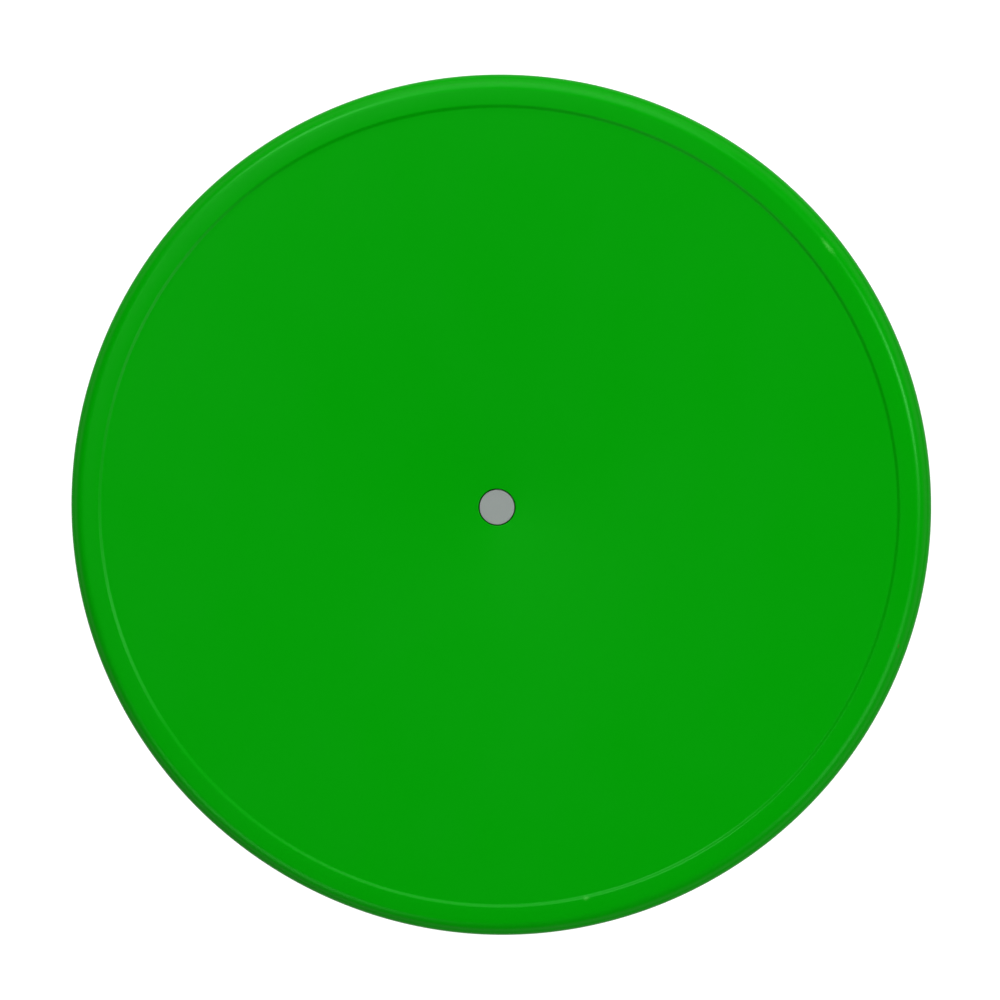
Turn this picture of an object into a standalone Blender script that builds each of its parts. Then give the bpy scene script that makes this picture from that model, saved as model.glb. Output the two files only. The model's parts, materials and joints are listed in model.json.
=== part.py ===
"""Saucer seat of a nest swing.

Two moulded shells close round a welded steel frame: a tube ring, four spokes and a hub. A bolt under a
push-on cap clamps them at the centre, and eight screws hold them near the rim. Four folding rings under
the rim take the ropes that the seat hangs by.

The seat lies on its base. The origin is on the ground under its centre, and +Z points up through the
seat. Heights are measured from the ground. Sizes are in metres.
"""

import math

import bmesh
import bpy

MM = 0.001
GAP = 0.3 * MM  # left between pieces that touch

# Overall
SEAT_RADIUS = 500 * MM
RECESS_DEPTH = 24 * MM  # from the ground up to the underside of the base shell's floor

# Moulded shells
WALL = 4 * MM
FLOOR_THICKNESS = 4 * MM
PANEL_THICKNESS = 5 * MM
PANEL_DROP = 2.5 * MM  # how far the panel lies below the rim
STEP_WIDTH = 5 * MM  # of the slope from the rim down to the panel
RIM_FLAT_WIDTH = 16 * MM
NOSE_WIDTH = 18.6 * MM  # of the rounded outer edge, seen from above
NOSE_HEIGHT = 30 * MM
PARTING_RISE = 7 * MM  # from the base shell's floor to the joint line
LIP_THICKNESS = 3.2 * MM  # of the base shell's lip inside the seat shell's wall
LIP_RISE = 5 * MM
BASE_ROUND = 12 * MM
BASE_DRAFT = 2 * MM
FOOT_WIDTH = 44 * MM  # of the flat band that the seat lies on
FOOT_SLOPE = 8 * MM  # how much the foot widens up to the floor
RIB_COUNT = 12
RIB_THICKNESS = 4 * MM
RIB_DEPTH = 8 * MM
RIB_CIRCLE_RADIUS = 60 * MM
DRAIN_RADIUS = 4 * MM
MOULD_OVERLAP = 1 * MM  # how far a rib or a boss runs into the wall that it grows from

# Shell screws
SCREW_COUNT = 8
SCREW_RADIUS = 2.5 * MM
SCREW_LENGTH = 21 * MM
SCREW_HEAD_RADIUS = 5 * MM
SCREW_HEAD_HEIGHT = 3.5 * MM
SCREW_INSET = 32 * MM  # from the foot's inner edge to the circle of screws
BOSS_RADIUS = 8 * MM

# Welded frame
TUBE_DIAMETER = 26.9 * MM
TUBE_WALL = 3.2 * MM
PANEL_CLEARANCE = 0.5 * MM  # between the tubes and the panel that they carry
SPOKE_COUNT = 4
VENT_RADIUS = 5 * MM  # of the holes that drain the tubes when they are galvanised
HUB_RADIUS = 38 * MM
HUB_WALL = 5 * MM
PAD_THICKNESS = 5 * MM
PAD_WIDTH = 70 * MM
FRAME_CLEARANCE = 4.2 * MM  # between the pad plates and the base shell's lip

# Folding rings and the straps that hold them
HANGER_COUNT = 4
WIRE_DIAMETER = 10 * MM
RING_INSIDE_WIDTH = 50 * MM
RING_REACH = 75 * MM  # from the hinge axis to the middle of the bow
RING_CORNER = 10 * MM
STRAP_THICKNESS = 4 * MM
STRAP_WIDTH = 34 * MM
STRAP_CLEARANCE = 0.5 * MM  # round the wire
STRAP_GROUND_CLEARANCE = 2.5 * MM
STRAP_EDGE = 10 * MM  # from a bolt's centre to the end of the strap
POCKET_CLEARANCE = 7 * MM  # beside a ring, in the notch through the foot

# Strap bolts
BOLT_RADIUS = 4 * MM
BOLT_FLATS = 13 * MM
BOLT_HEAD_HEIGHT = 5.3 * MM
BOLT_NUT_HEIGHT = 6.5 * MM
BOLT_END = 3 * MM  # of thread showing past a nut
PAD_EDGE = 12 * MM  # from a bolt's centre to the end of the pad plate

# Hub bolt and its cap
HUB_BOLT_RADIUS = 8 * MM
HUB_BOLT_FLATS = 24 * MM
HUB_BOLT_HEAD_HEIGHT = 10 * MM
HUB_NUT_HEIGHT = 13 * MM
HUB_WASHER_RADIUS = 15 * MM
HUB_WASHER_THICKNESS = 3 * MM
HUB_HOLE_CLEARANCE = 1 * MM
LEDGE_THICKNESS = 6 * MM  # of the seat shell under the bolt's head
COLLAR_THICKNESS = 4 * MM
HOLE_EDGE_ROUND = 1 * MM
CAP_RADIUS = 20.2 * MM
CAP_THICKNESS = 3 * MM
CAP_WALL = 1.8 * MM
CAP_SINK = 1.5 * MM  # of the cap's top below the panel
CAP_RING_GAP = 1.1 * MM  # between the cap and the hole in the panel
CAP_HEADROOM = 2.5 * MM
CAP_BASE_THICKNESS = 2.5 * MM
CAP_BASE_WALL = 2 * MM
CAP_GRIP = 8 * MM  # height of the cap base's wall, which the cap snaps over

# How finely round shapes are cut
RIM_SEGMENTS = 48
SMALL_SEGMENTS = 24
TUBE_SEGMENTS = 12
ARC_STEPS = 4
SHARP_EDGE = math.radians(35)

# Heights worked out from the stack of pieces at the rim
FLOOR_TOP = RECESS_DEPTH + FLOOR_THICKNESS
PAD_BOTTOM = FLOOR_TOP + GAP
PAD_TOP = PAD_BOTTOM + PAD_THICKNESS
TUBE_RADIUS = TUBE_DIAMETER / 2
TUBE_HEIGHT = PAD_TOP + GAP + TUBE_RADIUS
PANEL_UNDERSIDE = TUBE_HEIGHT + TUBE_RADIUS + PANEL_CLEARANCE
PANEL_TOP = PANEL_UNDERSIDE + PANEL_THICKNESS
RIM_TOP = PANEL_TOP + PANEL_DROP
NOSE_BOTTOM = RIM_TOP - NOSE_HEIGHT
PARTING_HEIGHT = FLOOR_TOP + PARTING_RISE
RIB_BOTTOM = RECESS_DEPTH - RIB_DEPTH

# Radii worked out from the rim inwards
RIM_FLAT_OUTER = SEAT_RADIUS - NOSE_WIDTH
RIM_FLAT_INNER = RIM_FLAT_OUTER - RIM_FLAT_WIDTH
PANEL_RADIUS = RIM_FLAT_INNER - STEP_WIDTH
LIP_OUTER = SEAT_RADIUS - WALL - GAP
LIP_INNER = LIP_OUTER - LIP_THICKNESS
FOOT_OUTER = SEAT_RADIUS - BASE_DRAFT - BASE_ROUND
FOOT_INNER = FOOT_OUTER - FOOT_WIDTH
SCREW_CIRCLE = FOOT_INNER - SCREW_INSET

# Strap bolts stand just clear of the frame tube, and the pad plates reach past them
HEXAGON = 2 / math.sqrt(3)  # a hexagon's width across corners over its width across flats
BOLT_OFFSET = TUBE_RADIUS + BOLT_FLATS * HEXAGON / 2 + GAP
STRAP_HALF_LENGTH = BOLT_OFFSET + STRAP_EDGE
PAD_HALF_LENGTH = BOLT_OFFSET + PAD_EDGE
FRAME_RADIUS = LIP_INNER - FRAME_CLEARANCE - PAD_HALF_LENGTH
BOLT_HOLE_RADIUS = BOLT_RADIUS + GAP
BOLT_LENGTH = (
    STRAP_THICKNESS + FLOOR_THICKNESS + PAD_THICKNESS + BOLT_NUT_HEIGHT + BOLT_END + 4 * GAP
)

# Rings
WIRE_RADIUS = WIRE_DIAMETER / 2
STRAP_INNER = WIRE_RADIUS + STRAP_CLEARANCE
STRAP_OUTER = STRAP_INNER + STRAP_THICKNESS
HINGE_HEIGHT = STRAP_GROUND_CLEARANCE + STRAP_OUTER
RING_HALF_WIDTH = RING_INSIDE_WIDTH / 2 + WIRE_RADIUS
RING_TILT = math.asin((HINGE_HEIGHT - WIRE_RADIUS - GAP) / RING_REACH)  # the bow just clears the ground
POCKET_HALF_WIDTH = RING_HALF_WIDTH + WIRE_RADIUS + POCKET_CLEARANCE

# Hub stack, from the panel down
HOLE_RADIUS = CAP_RADIUS + CAP_RING_GAP
COLLAR_RADIUS = HOLE_RADIUS + COLLAR_THICKNESS
HUB_HOLE_RADIUS = HUB_BOLT_RADIUS + HUB_HOLE_CLEARANCE
CAP_TOP = PANEL_TOP - CAP_SINK
CAP_UNDERSIDE = CAP_TOP - CAP_THICKNESS
HUB_HEAD_TOP = CAP_UNDERSIDE - CAP_HEADROOM
HUB_HEAD_BOTTOM = HUB_HEAD_TOP - HUB_BOLT_HEAD_HEIGHT
UPPER_WASHER_TOP = HUB_HEAD_BOTTOM - GAP
CAP_BASE_FLOOR = UPPER_WASHER_TOP - HUB_WASHER_THICKNESS - GAP
CAP_BASE_BOTTOM = CAP_BASE_FLOOR - CAP_BASE_THICKNESS
LEDGE_TOP = CAP_BASE_BOTTOM - GAP
LEDGE_BOTTOM = LEDGE_TOP - LEDGE_THICKNESS
HUB_PLATE_BOTTOM = FLOOR_TOP + GAP
HUB_PLATE_TOP = LEDGE_BOTTOM - GAP
LOWER_WASHER_TOP = RECESS_DEPTH - GAP
HUB_NUT_TOP = LOWER_WASHER_TOP - HUB_WASHER_THICKNESS - GAP
HUB_NUT_BOTTOM = HUB_NUT_TOP - HUB_NUT_HEIGHT
HUB_BOLT_BOTTOM = HUB_NUT_BOTTOM - BOLT_END

# Finishes, as (colour, roughness, metallic)
SEAT_GREEN = ((0.0, 0.33, 0.0, 1), 0.45, 0.0)
BASE_GREEN = ((0.0, 0.30, 0.0, 1), 0.50, 0.0)
CAP_GREY = ((0.28, 0.31, 0.29, 1), 0.50, 0.0)
CAP_BASE_BLACK = ((0.03, 0.03, 0.03, 1), 0.55, 0.0)
GALVANISED = ((0.52, 0.54, 0.55, 1), 0.50, 0.9)
RING_STEEL = ((0.60, 0.61, 0.62, 1), 0.35, 1.0)
ZINC_PLATED = ((0.66, 0.67, 0.68, 1), 0.30, 1.0)


def clear_scene():
    for thing in list(bpy.data.objects):
        bpy.data.objects.remove(thing)


def finish(name, look):
    """A material of one colour, roughness and metallic value."""
    colour, roughness, metallic = look
    material = bpy.data.materials.new(name)
    material.use_nodes = True
    shader = material.node_tree.nodes["Principled BSDF"]
    shader.inputs["Base Color"].default_value = colour
    shader.inputs["Roughness"].default_value = roughness
    shader.inputs["Metallic"].default_value = metallic
    return material


def place(name, data, material=None, parent=None, at=(0, 0, 0), turn=(0, 0, 0)):
    """Puts data in the scene as an object, at a place in its parent's frame."""
    thing = bpy.data.objects.new(name, data)
    thing.parent = parent
    thing.location = at
    thing.rotation_euler = turn
    bpy.context.collection.objects.link(thing)
    if material:
        data.materials.clear()
        data.materials.append(material)
    if data and data.id_type == "MESH":
        data.shade_smooth()
        data.set_sharp_from_angle(angle=SHARP_EDGE)
    return thing


def to_mesh(name, shape):
    """A bmesh as a mesh with its faces pointing out."""
    bmesh.ops.recalc_face_normals(shape, faces=shape.faces)
    mesh = bpy.data.meshes.new(name)
    shape.to_mesh(mesh)
    shape.free()
    return mesh


def arc(centre, radius, start, end, steps=ARC_STEPS, height=None):
    """Points on an arc, or on an ellipse where height gives its half height. Angles are in degrees."""
    points = []
    for step in range(steps + 1):
        angle = math.radians(start + (end - start) * step / steps)
        across = centre[0] + radius * math.cos(angle)
        up = centre[1] + (height or radius) * math.sin(angle)
        points.append((across, up))
    return points


def turned(name, outline, segments):
    """A solid turned about Z from (radius, height) points. An outline from axis to axis isn't closed."""
    shape = bmesh.new()
    corners = [shape.verts.new((radius, 0, height)) for radius, height in outline]
    edges = [shape.edges.new(pair) for pair in zip(corners, corners[1:])]
    if outline[0][0] > 0:
        edges.append(shape.edges.new((corners[-1], corners[0])))
    bmesh.ops.spin(
        shape,
        geom=corners + edges,
        cent=(0, 0, 0),
        axis=(0, 0, 1),
        angle=math.tau,
        steps=segments,
        use_merge=True,
    )
    bmesh.ops.remove_doubles(shape, verts=shape.verts, dist=0.001 * MM)
    return to_mesh(name, shape)


def disc(name, inner, outer, bottom, top, segments=SMALL_SEGMENTS):
    """A flat ring, or a full disc where inner is 0."""
    outline = [(inner, bottom), (outer, bottom), (outer, top), (inner, top)]
    return turned(name, outline, segments)


def extruded(name, outline, width):
    """A prism along Y, centred on the XZ plane, from (x, z) points."""
    shape = bmesh.new()
    corners = [shape.verts.new((x, -width / 2, z)) for x, z in outline]
    side = shape.faces.new(corners)
    made = bmesh.ops.extrude_face_region(shape, geom=[side])
    far = [item for item in made["geom"] if isinstance(item, bmesh.types.BMVert)]
    bmesh.ops.translate(shape, verts=far, vec=(0, width, 0))
    return to_mesh(name, shape)


def block(name, low, high):
    """A box from its lowest to its highest corner."""
    outline = [(low[0], low[2]), (high[0], low[2]), (high[0], high[2]), (low[0], high[2])]
    mesh = extruded(name, outline, high[1] - low[1])
    for corner in mesh.vertices:
        corner.co.y += (low[1] + high[1]) / 2
    return mesh


def prism(name, flats, bottom, top):
    """A hexagonal prism about Z, for nuts and bolt heads."""
    corner = flats * HEXAGON / 2
    return turned(name, [(0, bottom), (corner, bottom), (corner, top), (0, top)], 6)


def boolean(body, tools, operation):
    """Joins tools to a body or cuts them out of it, and removes them."""
    for tool in tools:
        change = body.modifiers.new(tool.name, "BOOLEAN")
        change.operation = operation
        change.object = tool
    seen = body.evaluated_get(bpy.context.evaluated_depsgraph_get())
    before = body.data
    body.data = bpy.data.meshes.new_from_object(seen)
    body.data.name = body.name
    body.modifiers.clear()
    bpy.data.meshes.remove(before)
    for tool in tools:
        bpy.data.objects.remove(tool)


def cut(body, tools):
    boolean(body, tools, "DIFFERENCE")


def join(body, tools):
    boolean(body, tools, "UNION")


def around(count, radius, start=0.0):
    """(place on the circle, angle) for each of count places round the seat."""
    places = []
    for index in range(count):
        angle = start + math.tau * index / count
        places.append(((radius * math.cos(angle), radius * math.sin(angle), 0), angle))
    return places


def cutter_at(mesh, at, angle=0.0):
    return place(mesh.name, mesh, at=at, turn=(0, 0, angle))


def foot_wall(height):
    """Radius of the foot's inner wall at a height."""
    return FOOT_INNER - FOOT_SLOPE * height / RECESS_DEPTH


def screw_places():
    return around(SCREW_COUNT, SCREW_CIRCLE, math.pi / SCREW_COUNT)


def spoke_places():
    """The spokes stand midway between the hangers."""
    return around(SPOKE_COUNT, 0, math.pi / SPOKE_COUNT)


def seat_shell(material):
    """The moulded top: sunk panel, rim, rounded edge, and a collar and ledge for the hub bolt."""
    parting = PARTING_HEIGHT + GAP / 2
    nose_centre = (RIM_FLAT_OUTER, NOSE_BOTTOM)
    rim_underside = RIM_TOP - WALL
    outline = [
        (HUB_HOLE_RADIUS, LEDGE_BOTTOM),
        (HUB_HOLE_RADIUS, LEDGE_TOP),
        (HOLE_RADIUS, LEDGE_TOP),
        (HOLE_RADIUS, PANEL_TOP - HOLE_EDGE_ROUND),
        (HOLE_RADIUS + HOLE_EDGE_ROUND, PANEL_TOP),
        (PANEL_RADIUS, PANEL_TOP),
        (RIM_FLAT_INNER, RIM_TOP),
        *arc(nose_centre, NOSE_WIDTH, 90, 0, height=NOSE_HEIGHT),
        (SEAT_RADIUS, parting),
        (SEAT_RADIUS - WALL, parting),
        *arc(nose_centre, NOSE_WIDTH - WALL, 0, 90, height=NOSE_HEIGHT - WALL),
        (RIM_FLAT_INNER + WALL, rim_underside),
        (PANEL_RADIUS + WALL, PANEL_UNDERSIDE),
        (COLLAR_RADIUS, PANEL_UNDERSIDE),
        (COLLAR_RADIUS, LEDGE_BOTTOM),
    ]
    shell = place("seat_shell", turned("seat_shell", outline, RIM_SEGMENTS), material)
    boss_top = PANEL_UNDERSIDE + MOULD_OVERLAP
    hole_top = LOWER_WASHER_TOP + SCREW_LENGTH + MOULD_OVERLAP
    bosses = []
    holes = []
    for at, angle in screw_places():
        boss = disc("boss", 0, BOSS_RADIUS, FLOOR_TOP + GAP, boss_top, TUBE_SEGMENTS)
        hole = disc("boss_hole", 0, SCREW_RADIUS + GAP, FLOOR_TOP, hole_top, TUBE_SEGMENTS)
        bosses.append(cutter_at(boss, at))
        holes.append(cutter_at(hole, at))
    join(shell, bosses)
    cut(shell, holes)
    return shell


def foot_notches(extra, top):
    """A box through the foot for each folding ring, grown sideways by extra."""
    half = POCKET_HALF_WIDTH + extra
    low = (foot_wall(RECESS_DEPTH) - MOULD_OVERLAP, -half, -MOULD_OVERLAP)
    high = (SEAT_RADIUS + MOULD_OVERLAP, half, top)
    return [
        cutter_at(block("notch", low, high), (0, 0, 0), angle)
        for at, angle in around(HANGER_COUNT, FRAME_RADIUS)
    ]


def base_body():
    """The base shell's outer shape, solid up to its lip, with ribs under the floor."""
    round_centre = (FOOT_OUTER, BASE_ROUND)
    parting = PARTING_HEIGHT - GAP / 2
    lip_top = PARTING_HEIGHT + LIP_RISE
    outline = [
        (HUB_HOLE_RADIUS, RECESS_DEPTH),
        (foot_wall(RECESS_DEPTH), RECESS_DEPTH),
        (FOOT_INNER, 0),
        *arc(round_centre, BASE_ROUND, -90, 0),
        (SEAT_RADIUS, parting),
        (LIP_OUTER, parting),
        (LIP_OUTER, lip_top),
        (HUB_HOLE_RADIUS, lip_top),
    ]
    body = place("base_shell", turned("base_shell", outline, RIM_SEGMENTS))
    rib_top = RECESS_DEPTH + MOULD_OVERLAP
    half = RIB_THICKNESS / 2
    rib_end = foot_wall(RIB_BOTTOM) + MOULD_OVERLAP
    circle_bottom = RIB_BOTTOM - MOULD_OVERLAP
    circle_inner = RIB_CIRCLE_RADIUS - RIB_THICKNESS
    circle = disc("rib_circle", circle_inner, RIB_CIRCLE_RADIUS, circle_bottom, rib_top + MOULD_OVERLAP)
    ribs = [place("rib_circle", circle)]
    for at, angle in around(RIB_COUNT, 0, math.pi / RIB_COUNT):
        low = (RIB_CIRCLE_RADIUS - half, -half, RIB_BOTTOM)
        high = (rib_end, half, rib_top)
        ribs.append(cutter_at(block("rib", low, high), at, angle))
    join(body, ribs)
    return body


def floor_space():
    """The room over the base shell's floor, up to the lip's edge."""
    outline = [
        (0, FLOOR_TOP),
        (SEAT_RADIUS - WALL, FLOOR_TOP),
        (LIP_INNER, FLOOR_TOP + LIP_RISE),
        (LIP_INNER, PARTING_HEIGHT + 2 * LIP_RISE),
        (0, PARTING_HEIGHT + 2 * LIP_RISE),
    ]
    return place("floor_space", turned("floor_space", outline, RIM_SEGMENTS))


def foot_space():
    """The room inside the hollow foot, walled off beside each notch."""
    hollow_round = BASE_ROUND - WALL
    top = FLOOR_TOP + MOULD_OVERLAP
    outline = [
        (foot_wall(RECESS_DEPTH) + WALL, top),
        (foot_wall(WALL) + WALL, WALL),
        *arc((FOOT_OUTER, BASE_ROUND), hollow_round, -90, 0),
        (FOOT_OUTER + hollow_round, top),
    ]
    space = place("foot_space", turned("foot_space", outline, RIM_SEGMENTS))
    cut(space, foot_notches(WALL, top + MOULD_OVERLAP))
    return space


def base_shell(material):
    """The moulded bottom: ribbed floor, hollow foot, and a notch through the foot at each ring."""
    shell = base_body()
    cut(shell, foot_notches(0, RECESS_DEPTH))
    cut(shell, [floor_space(), foot_space()])
    holes = []
    for at, angle in screw_places():
        hole = disc("screw_hole", 0, SCREW_RADIUS + GAP, 0, PARTING_HEIGHT, TUBE_SEGMENTS)
        holes.append(cutter_at(hole, at))
    for at, angle in around(HANGER_COUNT, FRAME_RADIUS):
        for side in (-1, 1):
            hole = disc("bolt_hole", 0, BOLT_HOLE_RADIUS, 0, PARTING_HEIGHT, TUBE_SEGMENTS)
            reach = FRAME_RADIUS + side * BOLT_OFFSET
            holes.append(cutter_at(hole, (reach * math.cos(angle), reach * math.sin(angle), 0)))
    for at, angle in around(HANGER_COUNT, (FOOT_INNER + FOOT_OUTER) / 2, math.pi / HANGER_COUNT):
        drain = disc("drain", 0, DRAIN_RADIUS, -MOULD_OVERLAP, 2 * WALL, TUBE_SEGMENTS)
        holes.append(cutter_at(drain, at))
    cut(shell, holes)
    shell.data.materials.clear()
    shell.data.materials.append(material)
    shell.data.shade_smooth()
    shell.data.set_sharp_from_angle(angle=SHARP_EDGE)
    return shell


def torus(name, radius):
    """A ring of round section on the frame's circle."""
    outline = arc((FRAME_RADIUS, TUBE_HEIGHT), radius, 0, 360, steps=TUBE_SEGMENTS)[:-1]
    return place(name, turned(name, outline, RIM_SEGMENTS))


def frame_ring(material):
    """The tube ring, with a vent hole behind each spoke."""
    ring = torus("frame_ring", TUBE_RADIUS)
    cut(ring, [torus("ring_bore", TUBE_RADIUS - TUBE_WALL)])
    vents = []
    for at, angle in spoke_places():
        vent = disc("vent", 0, VENT_RADIUS, FRAME_RADIUS - TUBE_DIAMETER, FRAME_RADIUS)
        turn = (0, math.pi / 2, angle)
        vents.append(place("vent", vent, at=(0, 0, TUBE_HEIGHT), turn=turn))
    cut(ring, vents)
    ring.data.materials.append(material)
    ring.data.shade_smooth()
    return ring


def spokes(material):
    """Tubes from the hub to the ring, with their ends cut to fit against both."""
    bore = TUBE_RADIUS - TUBE_WALL
    bar = disc("spoke", bore, TUBE_RADIUS, HUB_RADIUS - HUB_WALL, FRAME_RADIUS, TUBE_SEGMENTS)
    along_x = {"at": (0, 0, TUBE_HEIGHT), "turn": (0, math.pi / 2, 0)}
    spoke = place("spoke", bar, **along_x)
    hub_space = disc("hub_space", 0, HUB_RADIUS + GAP, 0, RIM_TOP)
    cut(spoke, [place("hub_space", hub_space), torus("ring_space", TUBE_RADIUS + GAP)])
    mesh = spoke.data
    bpy.data.objects.remove(spoke)
    for index, (at, angle) in enumerate(spoke_places()):
        holder = place(f"spoke_holder_{index + 1}", None, turn=(0, 0, angle))
        place(f"spoke_{index + 1}", mesh, material, holder, **along_x)


def hub(material):
    """The hub tube that the spokes meet, over the plate that the bolt pulls on."""
    tube_top = TUBE_HEIGHT + TUBE_RADIUS
    mesh = disc("hub_tube", HUB_RADIUS - HUB_WALL, HUB_RADIUS, HUB_PLATE_TOP + GAP, tube_top)
    tube = place("hub_tube", mesh, material)
    vents = []
    for at, angle in spoke_places():
        vent = disc("vent", 0, VENT_RADIUS, HUB_RADIUS - 2 * HUB_WALL, HUB_RADIUS + HUB_WALL, TUBE_SEGMENTS)
        turn = (0, math.pi / 2, angle)
        vents.append(place("vent", vent, at=(0, 0, TUBE_HEIGHT), turn=turn))
    cut(tube, vents)
    tube.data.shade_smooth()
    tube.data.set_sharp_from_angle(angle=SHARP_EDGE)
    plate = disc("hub_plate", HUB_HOLE_RADIUS, HUB_RADIUS, HUB_PLATE_BOTTOM, HUB_PLATE_TOP)
    place("hub_plate", plate, material)


def station(index):
    """An empty on a ring's hinge axis, with +X pointing outwards."""
    angle = math.tau * index / HANGER_COUNT
    at = (FRAME_RADIUS * math.cos(angle), FRAME_RADIUS * math.sin(angle), HINGE_HEIGHT)
    return place(f"hanger_{index + 1}", None, at=at, turn=(0, 0, angle))


def ring_path():
    """The middle of the ring's wire: a straight bar on the hinge axis, two legs and a round bow."""
    half = RING_HALF_WIDTH
    corner = RING_CORNER
    bow_centre = (-(RING_REACH - half), 0)
    path = arc((-corner, half - corner), corner, 0, 90)
    path += arc(bow_centre, half, 90, 270, steps=4 * ARC_STEPS)
    path += arc((-corner, corner - half), corner, 270, 360)
    return path


def ring_curve():
    """The ring as a bevelled curve, flat in its own XY plane."""
    curve = bpy.data.curves.new("hanging_ring", "CURVE")
    curve.dimensions = "3D"
    curve.bevel_depth = WIRE_RADIUS
    curve.bevel_resolution = 2
    path = ring_path()
    line = curve.splines.new("POLY")
    line.points.add(len(path) - 1)
    for point, (x, y) in zip(line.points, path):
        point.co = (x, y, 0, 1)
    line.use_cyclic_u = True
    line.use_smooth = True
    return curve


def strap_mesh():
    """A bent strap: a half-round saddle under the wire and a foot to each side, with a bolt hole in each."""
    top = RECESS_DEPTH - GAP - HINGE_HEIGHT
    foot = top - STRAP_THICKNESS
    outline = [
        (-STRAP_HALF_LENGTH, top),
        (-STRAP_HALF_LENGTH, foot),
        (-STRAP_OUTER, foot),
        *arc((0, 0), STRAP_OUTER, 180, 360, steps=2 * ARC_STEPS),
        (STRAP_OUTER, foot),
        (STRAP_HALF_LENGTH, foot),
        (STRAP_HALF_LENGTH, top),
        (STRAP_INNER, top),
        *arc((0, 0), STRAP_INNER, 360, 180, steps=2 * ARC_STEPS),
        (-STRAP_INNER, top),
    ]
    strap = place("strap", extruded("ring_strap", outline, STRAP_WIDTH))
    holes = []
    for side in (-1, 1):
        hole = disc("strap_hole", 0, BOLT_HOLE_RADIUS, 0, 2 * top, TUBE_SEGMENTS)
        holes.append(cutter_at(hole, (side * BOLT_OFFSET, 0, 0)))
    cut(strap, holes)
    mesh = strap.data
    bpy.data.objects.remove(strap)
    return mesh


def pad_mesh():
    """A pad plate under the frame tube, with a hole for each strap bolt."""
    bottom = PAD_BOTTOM - HINGE_HEIGHT
    top = PAD_TOP - HINGE_HEIGHT
    low = (-PAD_HALF_LENGTH, -PAD_WIDTH / 2, bottom)
    high = (PAD_HALF_LENGTH, PAD_WIDTH / 2, top)
    pad = place("pad", block("pad_plate", low, high))
    holes = []
    for side in (-1, 1):
        hole = disc("pad_hole", 0, BOLT_HOLE_RADIUS, bottom - GAP, top + GAP, TUBE_SEGMENTS)
        holes.append(cutter_at(hole, (side * BOLT_OFFSET, 0, 0)))
    cut(pad, holes)
    mesh = pad.data
    bpy.data.objects.remove(pad)
    return mesh


def hex_bolt(name, radius, flats, head_height, length, head_below):
    """A bolt about Z with the seat of its head at 0 and its thread running away from the head."""
    way = 1 if head_below else -1
    head_span = sorted((0, -way * head_height))
    shank_span = sorted((-way * head_height / 2, way * length))
    bolt = place(name, prism(name, flats, *head_span))
    join(bolt, [place("shank", disc("shank", 0, radius, *shank_span, TUBE_SEGMENTS))])
    mesh = bolt.data
    bpy.data.objects.remove(bolt)
    return mesh


def hex_nut(name, radius, flats, height):
    """A nut about Z, standing on 0, with a bore that clears the thread."""
    nut = place(name, prism(name, flats, 0, height))
    bore = disc("nut_bore", 0, radius + GAP, -GAP, height + GAP, TUBE_SEGMENTS)
    cut(nut, [place("nut_bore", bore)])
    mesh = nut.data
    bpy.data.objects.remove(nut)
    return mesh


def hangers(steel, ring_steel, plated):
    """At each station: a folding ring, its strap, the pad plate over it and two bolts with nuts."""
    ring = ring_curve()
    strap = strap_mesh()
    pad = pad_mesh()
    bolt = hex_bolt("strap_bolt", BOLT_RADIUS, BOLT_FLATS, BOLT_HEAD_HEIGHT, BOLT_LENGTH, head_below=True)
    nut = hex_nut("strap_nut", BOLT_RADIUS, BOLT_FLATS, BOLT_NUT_HEIGHT)
    bolt_seat = RECESS_DEPTH - STRAP_THICKNESS - 2 * GAP - HINGE_HEIGHT
    nut_seat = PAD_TOP + GAP - HINGE_HEIGHT
    for index in range(HANGER_COUNT):
        hanger = station(index)
        number = index + 1
        place(f"hanging_ring_{number}", ring, ring_steel, hanger, turn=(0, -RING_TILT, 0))
        place(f"ring_strap_{number}", strap, steel, hanger)
        place(f"pad_plate_{number}", pad, steel, hanger)
        for word, side in (("inner", -1), ("outer", 1)):
            across = side * BOLT_OFFSET
            place(f"strap_bolt_{number}_{word}", bolt, plated, hanger, at=(across, 0, bolt_seat))
            place(f"strap_nut_{number}_{word}", nut, plated, hanger, at=(across, 0, nut_seat))


def shell_screws(material):
    """Pan-head screws up through the floor into the seat shell's bosses."""
    outline = [
        (0, -SCREW_HEAD_HEIGHT),
        (SCREW_HEAD_RADIUS - SCREW_HEAD_HEIGHT / 2, -SCREW_HEAD_HEIGHT),
        (SCREW_HEAD_RADIUS, -SCREW_HEAD_HEIGHT / 2),
        (SCREW_HEAD_RADIUS, 0),
        (SCREW_RADIUS, 0),
        (SCREW_RADIUS, SCREW_LENGTH - SCREW_RADIUS),
        (0, SCREW_LENGTH),
    ]
    screw = turned("shell_screw", outline, TUBE_SEGMENTS)
    for index, (at, angle) in enumerate(screw_places()):
        head_seat = RECESS_DEPTH - GAP
        place(f"shell_screw_{index + 1}", screw, material, at=(at[0], at[1], head_seat))


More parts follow.
